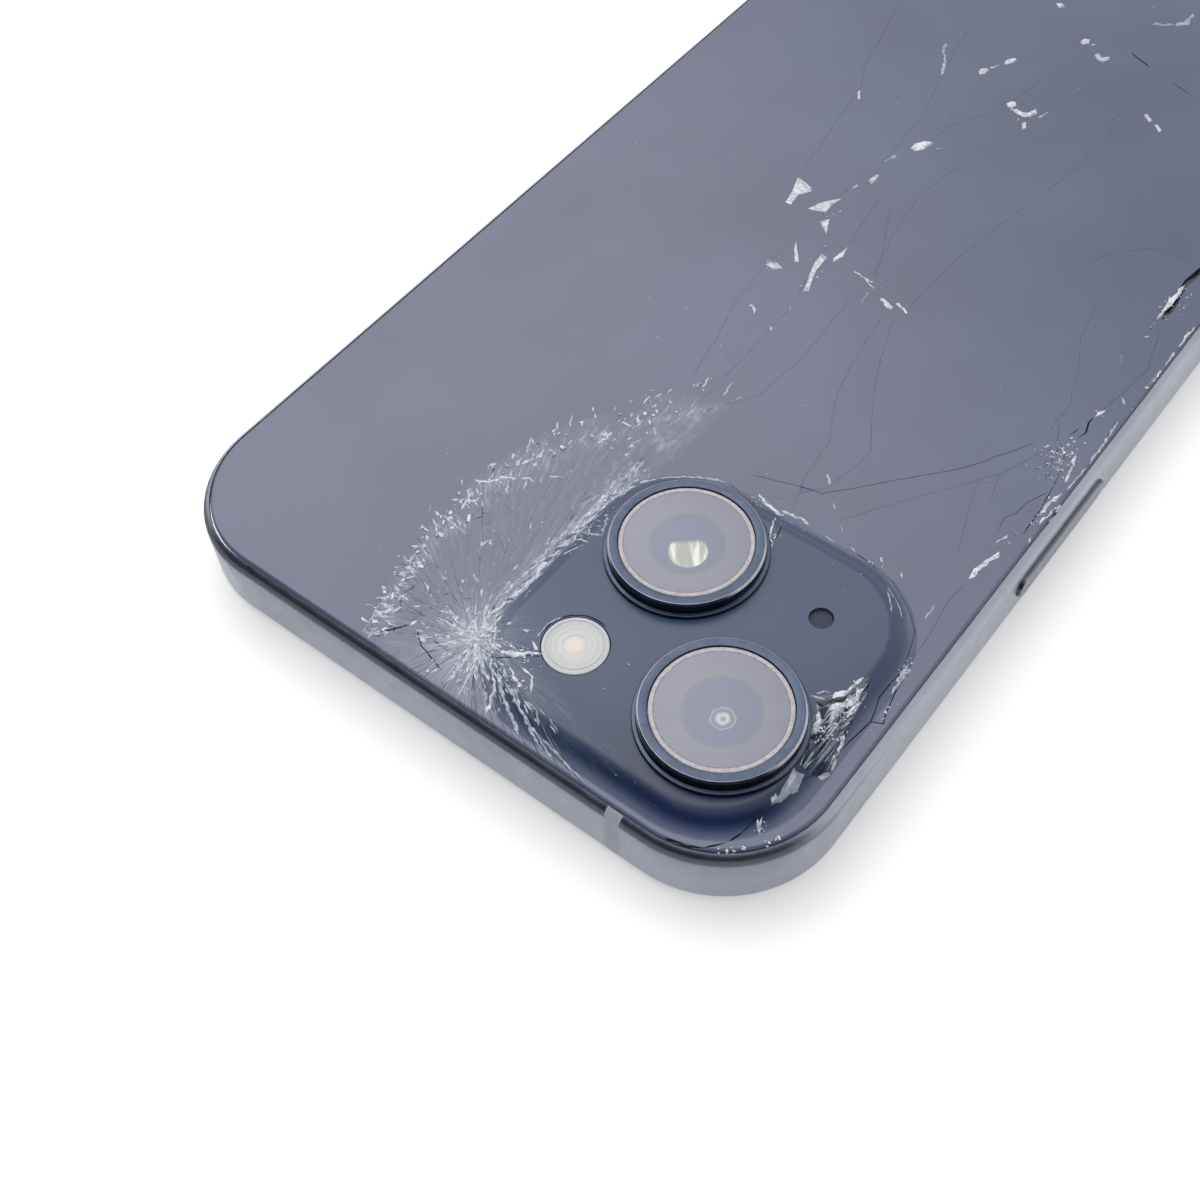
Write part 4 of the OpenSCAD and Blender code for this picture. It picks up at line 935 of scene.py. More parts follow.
def shattered_glass(cracks):
    """The back glass: shards with open grooves between them, on a closed underside."""
    shards = Shards(Plan(cracks))
    points, triangles, copies, base = shards.points, shards.triangles, shards.copies, shards.base
    # vertices: tops, groove floors, underside
    floor_at, under_at = copies, copies + len(points)
    vertices = np.concatenate([
        np.column_stack([shards.xy, shards.z]),
        np.column_stack([points, shards.floor_z]),
        np.column_stack([points, np.full(len(points), glass_low[2])]),
    ])
    faces = []

    def face(corners, slot=SLATE_SLOT, tone=0.0):
        faces.append((list(map(int, corners)), slot, tone))

    for t, corners in enumerate(shards.copy_of.reshape(-1, 3)):
        if shards.crushed[t]:
            clear = clear_share(shards.centres[t][1])
            odds = [clear, MILKY_SHARE, 1 - MILKY_SHARE - clear]
            face(corners, CRUSHED_SLOT, rng.choice(CRUSHED_TONES, p=odds))
        elif shards.slit[t]:
            # the sunk floor of the open slit is painted near black, a painted shade in the hollow
            face(corners, WALL_SLOT, -1.0)
        else:
            face(corners)
    for (p, q), tone in shards.walls:
        ring = [q, p] + [floor_at + base[end] for end in (p, q) if shards.shared[base[end]]]
        if len(ring) > 2:
            face(ring, WALL_SLOT, tone)
    for users in shards.sides.values():
        if len(users) == 1:
            t, k = users[0]
            p, q = shards.copy_of[3 * t + k], shards.copy_of[3 * t + (k + 1) % 3]
            face((q, p, under_at + base[p], under_at + base[q]))
    for corners in triangles:
        face(under_at + corners[::-1])

    corners, slots, tones = zip(*faces)
    mesh = new_mesh("shattered_back", vertices, corners)
    mesh.polygons.foreach_set("material_index", slots)
    smooth = [k < len(triangles) and slots[k] == SLATE_SLOT for k in range(len(faces))]
    mesh.polygons.foreach_set("use_smooth", smooth)
    set_attribute(mesh, "tone", "FACE", tones)
    paint_tones(mesh, vertices[:, :2])
    loop_normals = np.zeros((len(mesh.loops), 3))
    loop_vertex = np.zeros(len(mesh.loops), int)
    mesh.loops.foreach_get("vertex_index", loop_vertex)
    in_smooth = np.repeat(smooth, [len(face_corners) for face_corners in corners])
    loop_normals[in_smooth] = shards.normals[loop_vertex[in_smooth]]
    mesh.normals_split_custom_set(loop_normals.tolist())
    materials = [MATERIALS["back_glass"], crack_wall_material(), crushed_material()]
    place(mesh, "shattered_back_glass", "phone", materials, "back_glass")


# ---------------------------------------------------------------- scars and crumbs


# level of the feet of scars and flakes, below the face of the glass
SUNK = -0.02
# widest turn in radians between two corners of a crumb
WIDEST_GAP = 3.0


class Scars:
    """Low ridges and crumbs of broken glass on the back, gathered into one mesh."""

    def __init__(self):
        self.vertices, self.faces, self.tone = [], [], []

    def face(self, corners, tone):
        self.faces.append(tuple(corners))
        self.tone.append(tone)

    def stroke(self, points, width, tone=1.0, rise=0.035):
        """An uneven ridge along some points, drawn to a point at both ends."""
        points = np.array(points, float)
        along = np.concatenate([[0], np.cumsum(np.linalg.norm(np.diff(points, axis=0), axis=1))])
        count = max(3, int(along[-1] / max(0.35, 0.9 * width)))
        share = np.linspace(0, along[-1], count + 1)
        path = np.stack([np.interp(share, along, points[:, k]) for k in (0, 1)], axis=1)
        path[1:-1] += rng.normal(0, 0.14 * width, (count - 1, 2))
        run = np.gradient(path, axis=0)
        side = np.stack([-run[:, 1], run[:, 0]], axis=1) / np.linalg.norm(run, axis=1)[:, None]
        half = width / 2 * np.minimum(1, 2.6 * np.sin(np.pi * np.linspace(0, 1, count + 1)) ** 0.8)
        reach = half * rng.uniform(0.3, 1.5, (3, count + 1))
        left, right = path + side * reach[0][:, None], path - side * reach[1][:, None]
        spine = path + side * (half * rng.uniform(-0.35, 0.35, count + 1))[:, None]
        start = len(self.vertices)
        for k in range(count + 1):
            lift = rise * rng.uniform(0.6, 1.4)
            row = [(left[k], SUNK), (spine[k], lift), (right[k], SUNK)]
            if k in (0, count):
                row = [(path[k], SUNK / 2)]
            self.vertices += [on_back(at, above) for at, above in row]
        for k in range(count):
            a, b = start + 3 * k - 2, start + 3 * k + 1
            shade = tone * rng.uniform(0.7, 1.1, 2)
            if k == 0:
                sides = (start, b + 1, b), (start, b + 2, b + 1), (start, b, b + 2)
            elif k == count - 1:
                sides = (a, a + 1, b), (a + 1, a + 2, b), (a, b, a + 2)
            else:
                sides = (a, a + 1, b + 1, b), (a + 1, a + 2, b + 2, b + 1), (a, b, b + 2, a + 2)
            for corners, side_tone in zip(sides, (*shade, 0)):
                self.face(corners, side_tone)

    def chip(self, outline, tone=1.0, rise=0.06):
        """A flake with the outline given, raised in uneven facets."""
        area = sum(a[0] * b[1] - a[1] * b[0] for a, b in zip(outline, outline[1:] + outline[:1]))
        outline = np.array(outline if area > 0 else outline[::-1], float)
        start, n = len(self.vertices), len(outline)
        inner = outline + (outline.mean(axis=0) - outline) * rng.uniform(0.12, 0.4, (n, 1))
        for points, lift in ((outline, [SUNK] * n), (inner, rise * rng.uniform(0.5, 1.5, n))):
            self.vertices += [on_back(at, above) for at, above in zip(points, lift)]
        for k in range(n):
            self.face(wall_face(start, k, n), tone * rng.uniform(0.6, 1.05))
        self.face(range(start + n, start + 2 * n), tone * rng.uniform(0.9, 1.1))
        self.face(reversed(range(start, start + n)), tone)

    def crumb(self, at, length, width, angle, tone, lean=0.12):
        """A flat splinter with an uneven outline, leaning a little."""
        turns = np.sort(rng.uniform(0, 2 * math.pi, rng.integers(4, 7)))
        if np.max(np.diff(np.append(turns, turns[0] + 2 * math.pi))) > WIDEST_GAP:
            turns = np.linspace(0, 2 * math.pi, 4, endpoint=False)
        local = np.stack([np.cos(turns) * length / 2, np.sin(turns) * width / 2], axis=1)
        turn = math.radians(angle)
        spin = np.array([[math.cos(turn), -math.sin(turn)], [math.sin(turn), math.cos(turn)]])
        local = local @ spin.T
        tilt = rng.normal(0, lean, 2)
        x, y, ground = on_back(at, 0)
        start, n = len(self.vertices), len(local)
        for level in (SUNK / 2, rng.uniform(0.02, 0.05)):
            self.vertices += [(x + p[0], y + p[1], ground + level + float(np.dot(p, tilt))) for p in local]
        self.face(reversed(range(start, start + n)), tone)
        self.face(range(start + n, start + 2 * n), tone)
        for k in range(n):
            self.face(wall_face(start, k, n), tone)

    def build(self, name):
        mesh = new_mesh(name, self.vertices, self.faces)
        set_attribute(mesh, "tone", "FACE", self.tone)
        place(mesh, name, "phone", [scar_material()])


def wall_face(start, k, n):
    """Side k of a prism with n corners below and n above."""
    m = (k + 1) % n
    return start + k, start + m, start + n + m, start + n + k


def on_glass(at, margin=0.35):
    """Whether a place is on the glass, clear of its edge and of the cameras."""
    if glass_depth(at[None])[0] < margin:
        return False
    return all(np.linalg.norm(at - hole) > r for hole, r in CLEAR_OF)


# White scars: width, tone, then the points each runs through
SCARS = [
    # the impact, and the band down the plateau's foot
    (0.45, 1.0, [(-0.1, 66), (1.7, 64.9)]), (0.35, 1.0, [(-0.1, 66), (1.5, 66.1)]),
    (0.4, 1.0, [(-0.1, 66), (0.4, 67.6)]), (0.5, 1.0, [(-0.1, 66), (0.7, 63.3)]),
    (0.45, 1.0, [(-0.1, 66), (-2.6, 66.6)]), (0.22, 1.0, [(-0.4, 64), (-2.8, 66.8)]),
    (0.3, 0.9, [(-0.1, 66), (2.3, 67.3)]), (0.3, 0.9, [(-0.1, 66), (-1.2, 68.2)]),
    (0.7, 0.95, [(0.7, 63.6), (0, 60.9), (-0.2, 58.7), (0.1, 55.5), (0.2, 52.8), (-0.1, 50.4), (-0.2, 48.4)]),
    (0.5, 0.85, [(-0.2, 48.8), (-0.6, 45), (-1.2, 43.2), (-2.3, 41.7)]),
    (0.35, 0.7, [(-2.2, 41.8), (-3.4, 40.6), (-4.8, 39.6), (-6.1, 38.8), (-7.8, 38)]),
    (0.3, 0.8, [(1.3, 63), (1.1, 60), (0.9, 57), (1.1, 54), (0.8, 51), (0.6, 48), (0.1, 45)]),
    (0.3, 0.9, [(-0.6, 52.7), (-2.4, 52.6)]),
    (0.35, 0.8, [(-1.1, 51.9), (-2.8, 51.2), (-2.3, 49.9), (-1.4, 48.8)]),
    (0.25, 0.8, [(-0.8, 55), (-2.2, 53)]),
    # from the impact to the top end
    (0.3, 0.9, [(-1.4, 67.6), (-2.8, 72.3)]), (0.4, 0.9, [(-2.5, 67.4), (-5.2, 69.7), (-5.9, 72.2)]),
    (0.35, 0.8, [(-4.3, 68.2), (-6.3, 70), (-9.7, 71.9)]),
    (0.3, 0.7, [(-5.6, 68.9), (-8.4, 70.2), (-12.3, 71.9)]), (0.25, 0.7, [(-8.8, 70.3), (-13.7, 72.1)]),
    (0.22, 0.6, [(-11, 71), (-16.8, 72.1)]), (0.3, 0.8, [(-0.8, 67.8), (-0.9, 71.9)]),
    (0.25, 0.7, [(0.6, 68.2), (1.4, 71.5)]),
    # to the flash
    (0.6, 1.0, [(-3.3, 67.1), (-4.6, 66.4), (-5.4, 65.6), (-6.7, 64.8)]),
    (0.3, 1.0, [(-3.4, 65.7), (-4.5, 65.8)]), (0.5, 1.0, [(-4.9, 64.2), (-6.1, 64.8)]),
    (0.2, 0.9, [(-5.1, 63.8), (-5.0, 62), (-5.6, 60.6)]),
    (0.4, 1.0, [(-5.2, 67.5), (-6.2, 68.2), (-7.5, 68.6)]),
    (0.3, 0.9, [(-6, 67), (-7.6, 67.3), (-8.5, 68.8)]), (0.35, 0.9, [(-4.7, 67.9), (-5.7, 68.7)]),
    (0.25, 0.9, [(-6.3, 69.4), (-7.2, 69.2)]),
    # the far end of the fan
    (0.2, 0.7, [(8.7, 72.3), (9.2, 70.3), (9.9, 68.2)]), (0.5, 1.0, [(9.9, 68.3), (9.4, 67.3)]),
    (0.45, 0.9, [(9.5, 69.5), (8.5, 69), (8.2, 68.3)]), (0.3, 0.9, [(8.8, 71.9), (7.9, 71.3)]),
    (0.4, 0.9, [(5.9, 68.9), (5.6, 68)]), (0.7, 0.8, [(4.4, 69.1), (3.3, 69.4)]),
    (0.3, 0.9, [(7.3, 67.2), (6.3, 66.6)]), (0.35, 0.9, [(5.5, 66.4), (4.1, 65.8), (2.7, 65.7)]),
    (0.25, 0.9, [(3.5, 65.9), (3.6, 66.8)]), (0.3, 0.9, [(8, 64.3), (7.1, 64.8), (6.9, 65.3)]),
    (0.3, 0.9, [(10.8, 64.2), (9.8, 63.9), (9.1, 63.9)]), (0.25, 0.8, [(10.6, 64.9), (9.4, 64.1)]),
    (0.3, 0.8, [(4.5, 61.1), (3.8, 61.5)]), (0.35, 0.9, [(11.1, 63.5), (10.1, 63.2)]),
    # its rim, clockwise seen in the photograph
    (0.2, 0.6, [(11.7, 61.1), (10.4, 61.7), (8.3, 62.2)]),
    (0.22, 0.7, [(12.2, 58.6), (11.7, 58.3), (10.8, 58.9)]),
    (0.25, 0.8, [(12.2, 57.7), (11.6, 57.3), (10.6, 57.5), (8.5, 57.9)]),
    (0.2, 0.7, [(12.1, 56.7), (10.4, 56.7), (8.8, 57.2)]), (0.4, 0.9, [(12.4, 55.5), (11.8, 54.9)]),
    (0.35, 1.0, [(10.8, 55.9), (11.1, 54.8), (10.4, 54.2), (10.5, 53.5)]),
    (0.25, 0.9, [(10.4, 54.2), (9.7, 54.6)]), (0.3, 0.9, [(6.4, 58.2), (6.3, 57.2), (5.5, 57.2)]),
    (0.45, 1.0, [(12.5, 52.2), (10.9, 51.7), (10.3, 50.3), (9.6, 50), (8.8, 49.7)]),
    (0.25, 0.9, [(10.9, 51.7), (11.4, 50.2)]), (0.25, 0.9, [(9.6, 50), (9.9, 49)]),
    (0.3, 1.0, [(9.6, 50), (9.1, 50.9), (8.3, 51.9)]), (0.35, 0.9, [(8.7, 49.5), (8.2, 49), (7.2, 49)]),
    (0.25, 0.9, [(8.2, 49), (7.4, 50.5)]), (0.3, 0.9, [(11.3, 44.7), (10.5, 46.1), (10.2, 46.6)]),
    (0.22, 0.8, [(11.3, 44.7), (10.2, 45.4)]), (0.3, 0.9, [(9, 46.7), (9.2, 45)]),
    (0.25, 0.8, [(10.3, 41.5), (9.4, 43.4)]), (0.25, 0.8, [(9.8, 40), (8.8, 41.5)]),
    (0.25, 0.9, [(6.7, 47.7), (5.3, 46.8)]),
    (0.35, 1.0, [(5.2, 41.7), (5.4, 40.9), (4.9, 40.5), (5.2, 39.4)]),
    (0.3, 1.0, [(5.1, 38.2), (4.9, 37.7), (4, 37.9), (4.3, 37.2)]), (0.3, 0.9, [(3.3, 39.5), (3, 38.8)]),
    (0.35, 0.9, [(2.6, 40.2), (2.2, 39.6)]), (0.3, 0.9, [(2.2, 41.3), (2.1, 40.5)]),
    (0.22, 0.8, [(8.8, 37.9), (8.1, 38.6)]), (0.3, 1.0, [(6, 35.5), (6, 34.6)]),
    (0.3, 1.0, [(4.8, 34.8), (5, 33.4)]), (0.3, 0.9, [(3.9, 34.7), (3.6, 33.8)]),
    (0.3, 0.9, [(4.4, 33.5), (4.2, 32.3)]), (0.25, 0.9, [(3.7, 32.2), (3.8, 31.3)]),
    (0.3, 0.9, [(3.1, 32.9), (2.4, 33)]), (0.25, 0.8, [(1.8, 32.9), (1.1, 33.1)]),
    (0.3, 0.9, [(1.3, 29.6), (1.4, 28.7), (1.7, 27.8)]), (0.25, 0.8, [(-1.1, 29.3), (-0.7, 26.9)]),
    (0.2, 0.8, [(-2.1, 29.4), (-2.7, 28)]), (0.22, 0.8, [(-0.7, 32.4), (-0.7, 31)]),
    # along the plateau's lower side, where the white is broken glass and partly painted glints along the
    # crack at its foot, and up beside the main lens
    (0.5, 1.0, [(-11, 37.4), (-11.7, 37.9), (-12.9, 38.3), (-14.6, 38.5)]),
    (0.45, 0.9, [(-13.9, 38), (-16.3, 37.7), (-17.2, 37.9)]), (0.22, 0.9, [(-15, 39), (-15.8, 39.1)]),
    (0.2, 0.8, [(-18.9, 38.1), (-20.3, 38.2)]), (0.35, 0.9, [(-21.6, 37.8), (-22.4, 38.1)]),
    (0.3, 0.9, [(-24.4, 37.2), (-25.2, 37.6)]), (0.3, 0.8, [(-26.8, 37.4), (-27.4, 38.1)]),
    (0.2, 0.6, [(-27.4, 40.8), (-29.1, 42.8)]), (0.2, 0.6, [(-27, 40.2), (-29.2, 41.6), (-30, 42.5)]),
    (0.2, 0.8, [(-31.4, 40.9), (-31.4, 39.6), (-31.3, 38.7)]),
    (0.28, 0.9, [(-14.4, 39.4), (-15, 41), (-15.6, 42.4), (-16, 42.5), (-16.8, 44.1), (-17.6, 46)]),
    (0.3, 0.8, [(-15, 31.5), (-16.1, 32.8)]), (0.2, 0.6, [(-17.4, 34.2), (-18.1, 35)]),
    (0.2, 0.6, [(-19.3, 36.2), (-20.3, 36.8)]),
    # the middle of the back
    (0.4, 0.9, [(8.8, -1.8), (10.8, -2.6)]), (0.25, 0.8, [(5.9, 10.9), (4.7, 10.4)]),
    (0.5, 0.9, [(4.3, 17.2), (3.9, 16.7), (2.9, 18)]), (0.35, 0.9, [(0.3, 18.9), (0.4, 18.2)]),
    (0.25, 0.7, [(0.3, 15.3), (0.6, 14.6)]), (0.4, 0.7, [(5.3, -4.4), (5.1, -5.5)]),
    (0.25, 0.9, [(-1.8, 6.4), (-3.3, 6.7), (-5.3, 7.6)]), (0.5, 0.9, [(-3.3, 6.7), (-4.2, 6.9)]),
    (0.15, 0.6, [(-4.9, 8), (-5.2, 10.3)]), (0.4, 1.0, [(-6.4, 8.3), (-8.1, 9.2)]),
    (0.35, 1.0, [(-8.1, 8.2), (-9, 8.3), (-10, 8.8)]),
    (0.55, 0.55, [(10.6, -33.2), (8.5, -29.9), (7.6, -27.2)]), (0.4, 0.7, [(3.7, -31.6), (3, -33.1)]),
    (0.4, 0.9, [(14, -19.8), (13.1, -18)]), (0.2, 0.5, [(4.8, -10.2), (4.5, -12.1)]),
    (0.4, 0.6, [(-4, -42.3), (-4.4, -42.9)]), (0.5, 0.5, [(4.5, -11.2), (4.3, -12.4)]),
    (0.4, 0.6, [(-5.4, -26.9), (-6, -28.6)]), (0.3, 0.5, [(1.3, -15.5), (0.6, -16.2)]),
    (0.8, 0.45, [(-8, -49.8), (-10.4, -51.6)]), (0.9, 0.55, [(-10.4, -51), (-11, -52.3), (-11.1, -55)]),
    # down the side button's edge
    (0.5, 1.0, [(-32.2, 10.4), (-32.7, 8.8)]), (0.4, 0.8, [(-33.1, 6.4), (-33.8, 7.4)]),
    (0.4, 0.9, [(-32.9, 15.6), (-33.5, 17), (-33.9, 19.5)]),
    (0.6, 0.9, [(-34.3, 20.6), (-34, 22.2), (-33.8, 24.2)]),
    (0.5, 1.0, [(-34.6, 21.8), (-34.6, 23.6), (-34.4, 25.4)]),
    (0.3, 0.7, [(-34.3, 9.4), (-34.6, 13), (-34.6, 16.2)]), (0.2, 0.8, [(-34.6, 16.4), (-34.5, 20.2)]),
    (0.3, 0.9, [(-34.6, 26.9), (-34.6, 28)]), (0.25, 0.9, [(-32.7, 28), (-32.2, 29.7)]),
    (0.8, 1.0, [(-33, 30.1), (-32.6, 32.5), (-32.3, 34.8)]), (0.35, 0.9, [(-30, 16.7), (-30.6, 16.1)]),
    (0.4, 1.0, [(-31.15, -5.2), (-31, -8), (-31.05, -11.3)]), (0.4, 0.9, [(-30.4, -9.1), (-31, -8.4)]),
    # the first three strokes on these two lines, along x -34.6, are painted highlights on the glass's rounded
    # edge
    (0.3, 1.0, [(-34.6, -6.7), (-34.6, -3)]), (0.25, 0.9, [(-34.6, -2.2), (-34.6, 0.4)]),
    (0.35, 1.0, [(-34.6, 0.8), (-34.6, 3.5)]), (0.3, 0.7, [(-30.9, -2), (-31.7, -2.7)]),
    (0.15, 0.5, [(-30.3, 1), (-31.2, 2.8)]),
    # the crushed corner of the plateau
    (0.35, 1.0, [(-32.9, 46), (-33, 48.2)]), (0.25, 0.8, [(-33.2, 46), (-33.2, 49.5)]),
    (0.6, 1.0, [(-31.0, 50), (-30.4, 52), (-29.8, 53.6)]),
    (0.6, 1.0, [(-31.4, 51), (-31.1, 53), (-30.3, 54.8)]), (0.5, 1.0, [(-31.8, 52.2), (-31.7, 54.2)]),
    (0.5, 0.9, [(-29.6, 55.3), (-30.6, 57.4)]), (0.2, 0.8, [(-28, 54.6), (-28.7, 54.2), (-29.4, 54)]),
    (0.2, 0.7, [(-28.3, 54.1), (-28.8, 53.4), (-29.5, 53.2)]), (0.35, 0.9, [(-32.4, 55.6), (-32.9, 57.4)]),
    (0.3, 0.9, [(-33, 57.6), (-33.3, 59)]), (0.4, 0.9, [(-33.4, 59.2), (-32.7, 60.3)]),
    # the next two strokes are the pale patch on the flank's corner, crushed glass with a painted highlight
    (0.7, 0.6, [(-30.9, 61), (-31.5, 62.2), (-31.6, 64)]), (0.6, 0.5, [(-31.9, 61.5), (-32.1, 63.2)]),
    (0.4, 0.8, [(-31, 63.9), (-31.3, 65)]), (0.4, 1.0, [(-31, 66.6), (-31.7, 67.3)]),
    (0.3, 1.0, [(-31.2, 66.2), (-31.6, 67.3)]),
]

# White flakes: tone, then the outline
CHIPS = [
    (1.0, [(10.1, 1.8), (9.3, 1.8), (9.5, -0.3), (8.6, -1.7), (10.5, -2.7), (11.4, -2.8), (10.6, -0.5)]),
    (0.9, [(7.6, 1.2), (6.4, 0.8), (5.5, 0.4), (5.6, -1.0), (5.3, -2.7), (6.3, -1.5), (7.1, -0.2)]),
    (0.9, [(5.3, 2.0), (4.6, 0.8), (4.3, 1.7), (3.5, 3.4), (4.6, 2.6)]),
    (0.9, [(0.6, 6.8), (0.1, 5.4), (0.6, 3.6), (0.9, 6.1)]),
    (0.8, [(0.7, 12.4), (0.1, 12.2), (0.7, 10.6), (1.3, 8.6), (1.5, 6.2), (2.3, 6.1), (2.2, 7.6),
        (1.7, 9.5), (1.1, 10.9)]), (0.9, [(5.2, 7.2), (5.7, 6.0), (3.5, 8.7), (3.9, 9.0)]),
    (0.8, [(6.3, 11.1), (6.1, 10.4), (5.3, 10.1), (4.3, 10.5), (5.1, 11.3)]),
    (0.9, [(-6.4, 8.3), (-6.6, 8.1), (-8.3, 8.8), (-8.2, 9.2)]),
    (0.9, [(-8.0, 8.1), (-8.3, 7.8), (-9.3, 8.4), (-10.3, 9.2), (-8.8, 8.2)]),
    (0.8, [(4.6, -6.7), (4.4, -8.2), (4.0, -8.2), (3.9, -6.2)]),
    # the far end
    (1.0, [(3.7, -14.0), (3.7, -15.1), (3.0, -16.1), (2.1, -16.5), (2.0, -15.9), (2.3, -14.6), (3.1, -13.8)]),
    (1.0, [(-1.2, -27.0), (-1.5, -27.9), (-2.0, -28.0), (-2.4, -27.4), (-2.2, -26.7), (-1.7, -26.6)]),
    (0.9, [(-2.0, -26.5), (-2.5, -26.9), (-3.5, -26.6), (-4.2, -27.1), (-4.6, -28.2), (-5.1, -27.5),
        (-4.7, -26.5), (-4.0, -26.0), (-3.1, -26.1)]),
    (0.9, [(-4.4, -25.0), (-4.7, -25.5), (-5.3, -24.5), (-5.0, -24.0)]),
    (0.9, [(4.4, -30.4), (4.5, -31.1), (3.9, -31.7), (3.5, -31.4), (3.6, -30.4), (3.9, -30.0)]),
    (0.8, [(2.8, -33.6), (2.8, -34.4), (2.2, -35.3), (1.7, -35.1), (1.9, -34.0), (2.4, -33.3)]),
    (0.9, [(-2.6, -42.2), (-2.7, -43.0), (-3.4, -43.3), (-3.7, -42.4), (-3.1, -41.8)]),
    (0.7, [(-5.1, -40.9), (-5.3, -41.5), (-6.2, -40.9), (-6.9, -41.6), (-7.1, -41.0), (-6.7, -40.1),
        (-6.0, -40.2)]), (0.8, [(-14.9, -34.1), (-15.2, -34.6), (-16.3, -33.7), (-16.1, -33.2)]),
    (0.8, [(-16.7, -33.2), (-17.0, -33.5), (-18.0, -32.7), (-17.8, -32.2)]),
    (0.8, [(3.6, -47.5), (2.8, -47.8), (2.0, -47.5), (2.5, -46.7)]),
    # the blade in the open slit, and a pale bluish patch on the corner of the plateau's flank, crushed glass
    # with a painted highlight of the flank
    (1.0, [(-31.0, -5.8), (-31.35, -8.0), (-31.15, -11.6), (-30.7, -8.8)]),
    (0.32, [(-30.6, 60.6), (-31.9, 60.9), (-32.3, 62.6), (-31.8, 64.4), (-31.2, 65.2), (-31.1, 62.8)]),
    (0.7, [(-31.0, 61.2), (-31.6, 61.8), (-31.6, 63.3), (-31.1, 62.4)]),
]


# how many fine dashes: along the fan, at the impact, towards the end, and at the plateau's foot
FAN_DASHES, IMPACT_DASHES, END_DASHES, FOOT_DASHES = 170, 150, 120, 210
IMPACT_RAYS = 34


def glass_scars():
    """The white scars, with finer dashes along the fan, the impact, the plateau's foot and the edge."""
    scars = Scars()
    for width, tone, points in SCARS:
        scars.stroke(points, width, tone)
    for tone, outline in CHIPS:
        scars.chip(outline, tone)
    dashes = []
    for _ in range(FAN_DASHES):
        angle = rng.uniform(-90, 34)
        share = rng.choice([rng.uniform(0.03, 0.6), rng.normal(0.88, 0.08)], p=[0.4, 0.6])
        dashes.append((polar(angle, fan_reach(angle) * share), rng.uniform(0.3, 1.5), 12))
    for _ in range(IMPACT_DASHES):
        dashes.append((STAR + rng.normal(0, 1, 2) * [1.7, 1.5] + [-0.3, 0.2], rng.uniform(0.5, 2.2), 7))
    for _ in range(END_DASHES):
        x = rng.uniform(-13, 3)
        y = STAR[1] + rng.uniform(0.2, 0.98) * 5.8 - 0.15 * abs(x)
        dashes.append((np.array([x, y]), rng.uniform(0.5, 2.2), 8))
    for angle in rng.uniform(-180, 180, IMPACT_RAYS):
        tip = polar(angle, rng.uniform(1.6, 4.6))
        if on_glass(tip) and plateau_depth(tip[None])[0] < 1.2:
            scars.stroke([polar(angle, 0.2), tip], rng.uniform(0.14, 0.34), rng.uniform(0.8, 1.0), 0.04)
    for at, length, turn_by in dashes:
        lay_dash(scars, at, math.radians(radial_angle(at) + rng.normal(0, turn_by)), length)
    for _ in range(FOOT_DASHES):
        at = np.array([rng.normal(0.3, 0.6), rng.uniform(41, 65)])
        lay_dash(scars, at, math.radians(rng.normal(-88, 14)), rng.uniform(0.5, 2.2))
    scars.build("glass_scars")


def lay_dash(scars, at, turn, length):
    """A short scar, left out where it would leave the glass or lie over a camera."""
    run = unit(turn) * length / 2
    if on_glass(at - run) and on_glass(at + run) and plateau_depth(at[None])[0] <= SHOULDER:
        scars.stroke([at - run, at + run], rng.uniform(0.1, 0.32), rng.uniform(0.45, 1.0), 0.03)


# Where loose crumbs gather: place, spread along X and Y, and how many
CRUMBS = [
    ((-31.3, 54.5), (0.5, 1.6), 90), ((-30.6, 57.0), (0.4, 1.0), 40), ((-32.9, 47.0), (0.25, 0.8), 30),
    ((-12.6, 38.3), (1.2, 0.25), 24), ((-25.5, 38.3), (1.2, 0.3), 10), ((-4.9, 66.0), (0.9, 0.4), 50),
    ((-6.3, 68.3), (0.8, 0.5), 30), ((-1.3, 51.0), (0.5, 1.5), 40), ((-15.8, 42.5), (0.3, 1.4), 16),
    ((-32.0, 17.3), (0.7, 1.5), 110), ((-33.6, 23.5), (0.4, 2.0), 24), ((-32.4, 9.5), (0.3, 0.5), 10),
    ((-34.6, 0.0), (0.1, 4.0), 26), ((-32.3, -8.5), (0.5, 2.2), 14), ((-31.1, -9.0), (0.3, 2.4), 16),
    ((1.6, 8.8), (0.8, 1.4), 12), ((5.6, 0.2), (0.8, 1.2), 10), ((5.7, 10.6), (0.5, 0.4), 16),
    ((-4.0, 7.0), (0.8, 0.3), 12), ((-3.6, -26.0), (1.3, 0.8), 14), ((4.9, 40.0), (0.5, 1.6), 20),
    ((4.2, 33.6), (0.8, 0.9), 20), ((10.5, 50.4), (1.2, 0.6), 30), ((11.0, 54.8), (0.6, 0.9), 24),
    ((10.2, 45.2), (0.6, 0.9), 20), ((2.0, 29.5), (0.4, 0.9), 10), ((-34.0, 51.5), (0.2, 1.4), 10),
    ((8.8, 70.5), (0.6, 0.9), 16), ((10.2, 64.0), (0.6, 0.6), 20), ((-31.5, 66.8), (0.3, 0.4), 10),
]
# Crumbs caught in the gap round the glass
RIM_CRUMBS = [(-33.2, 66.8), (-32.7, 67.6), (-30.9, 69.9), (-30.4, 70.3), (-29.9, 70.6), (-31.4, 69.2)]
# how many crumbs: round the fan, at the impact, over the whole back, and at each place in the gap
FAN_CRUMBS, IMPACT_CRUMBS, FINE_CRUMBS, GAP_CRUMBS = 120, 70, 230, 5


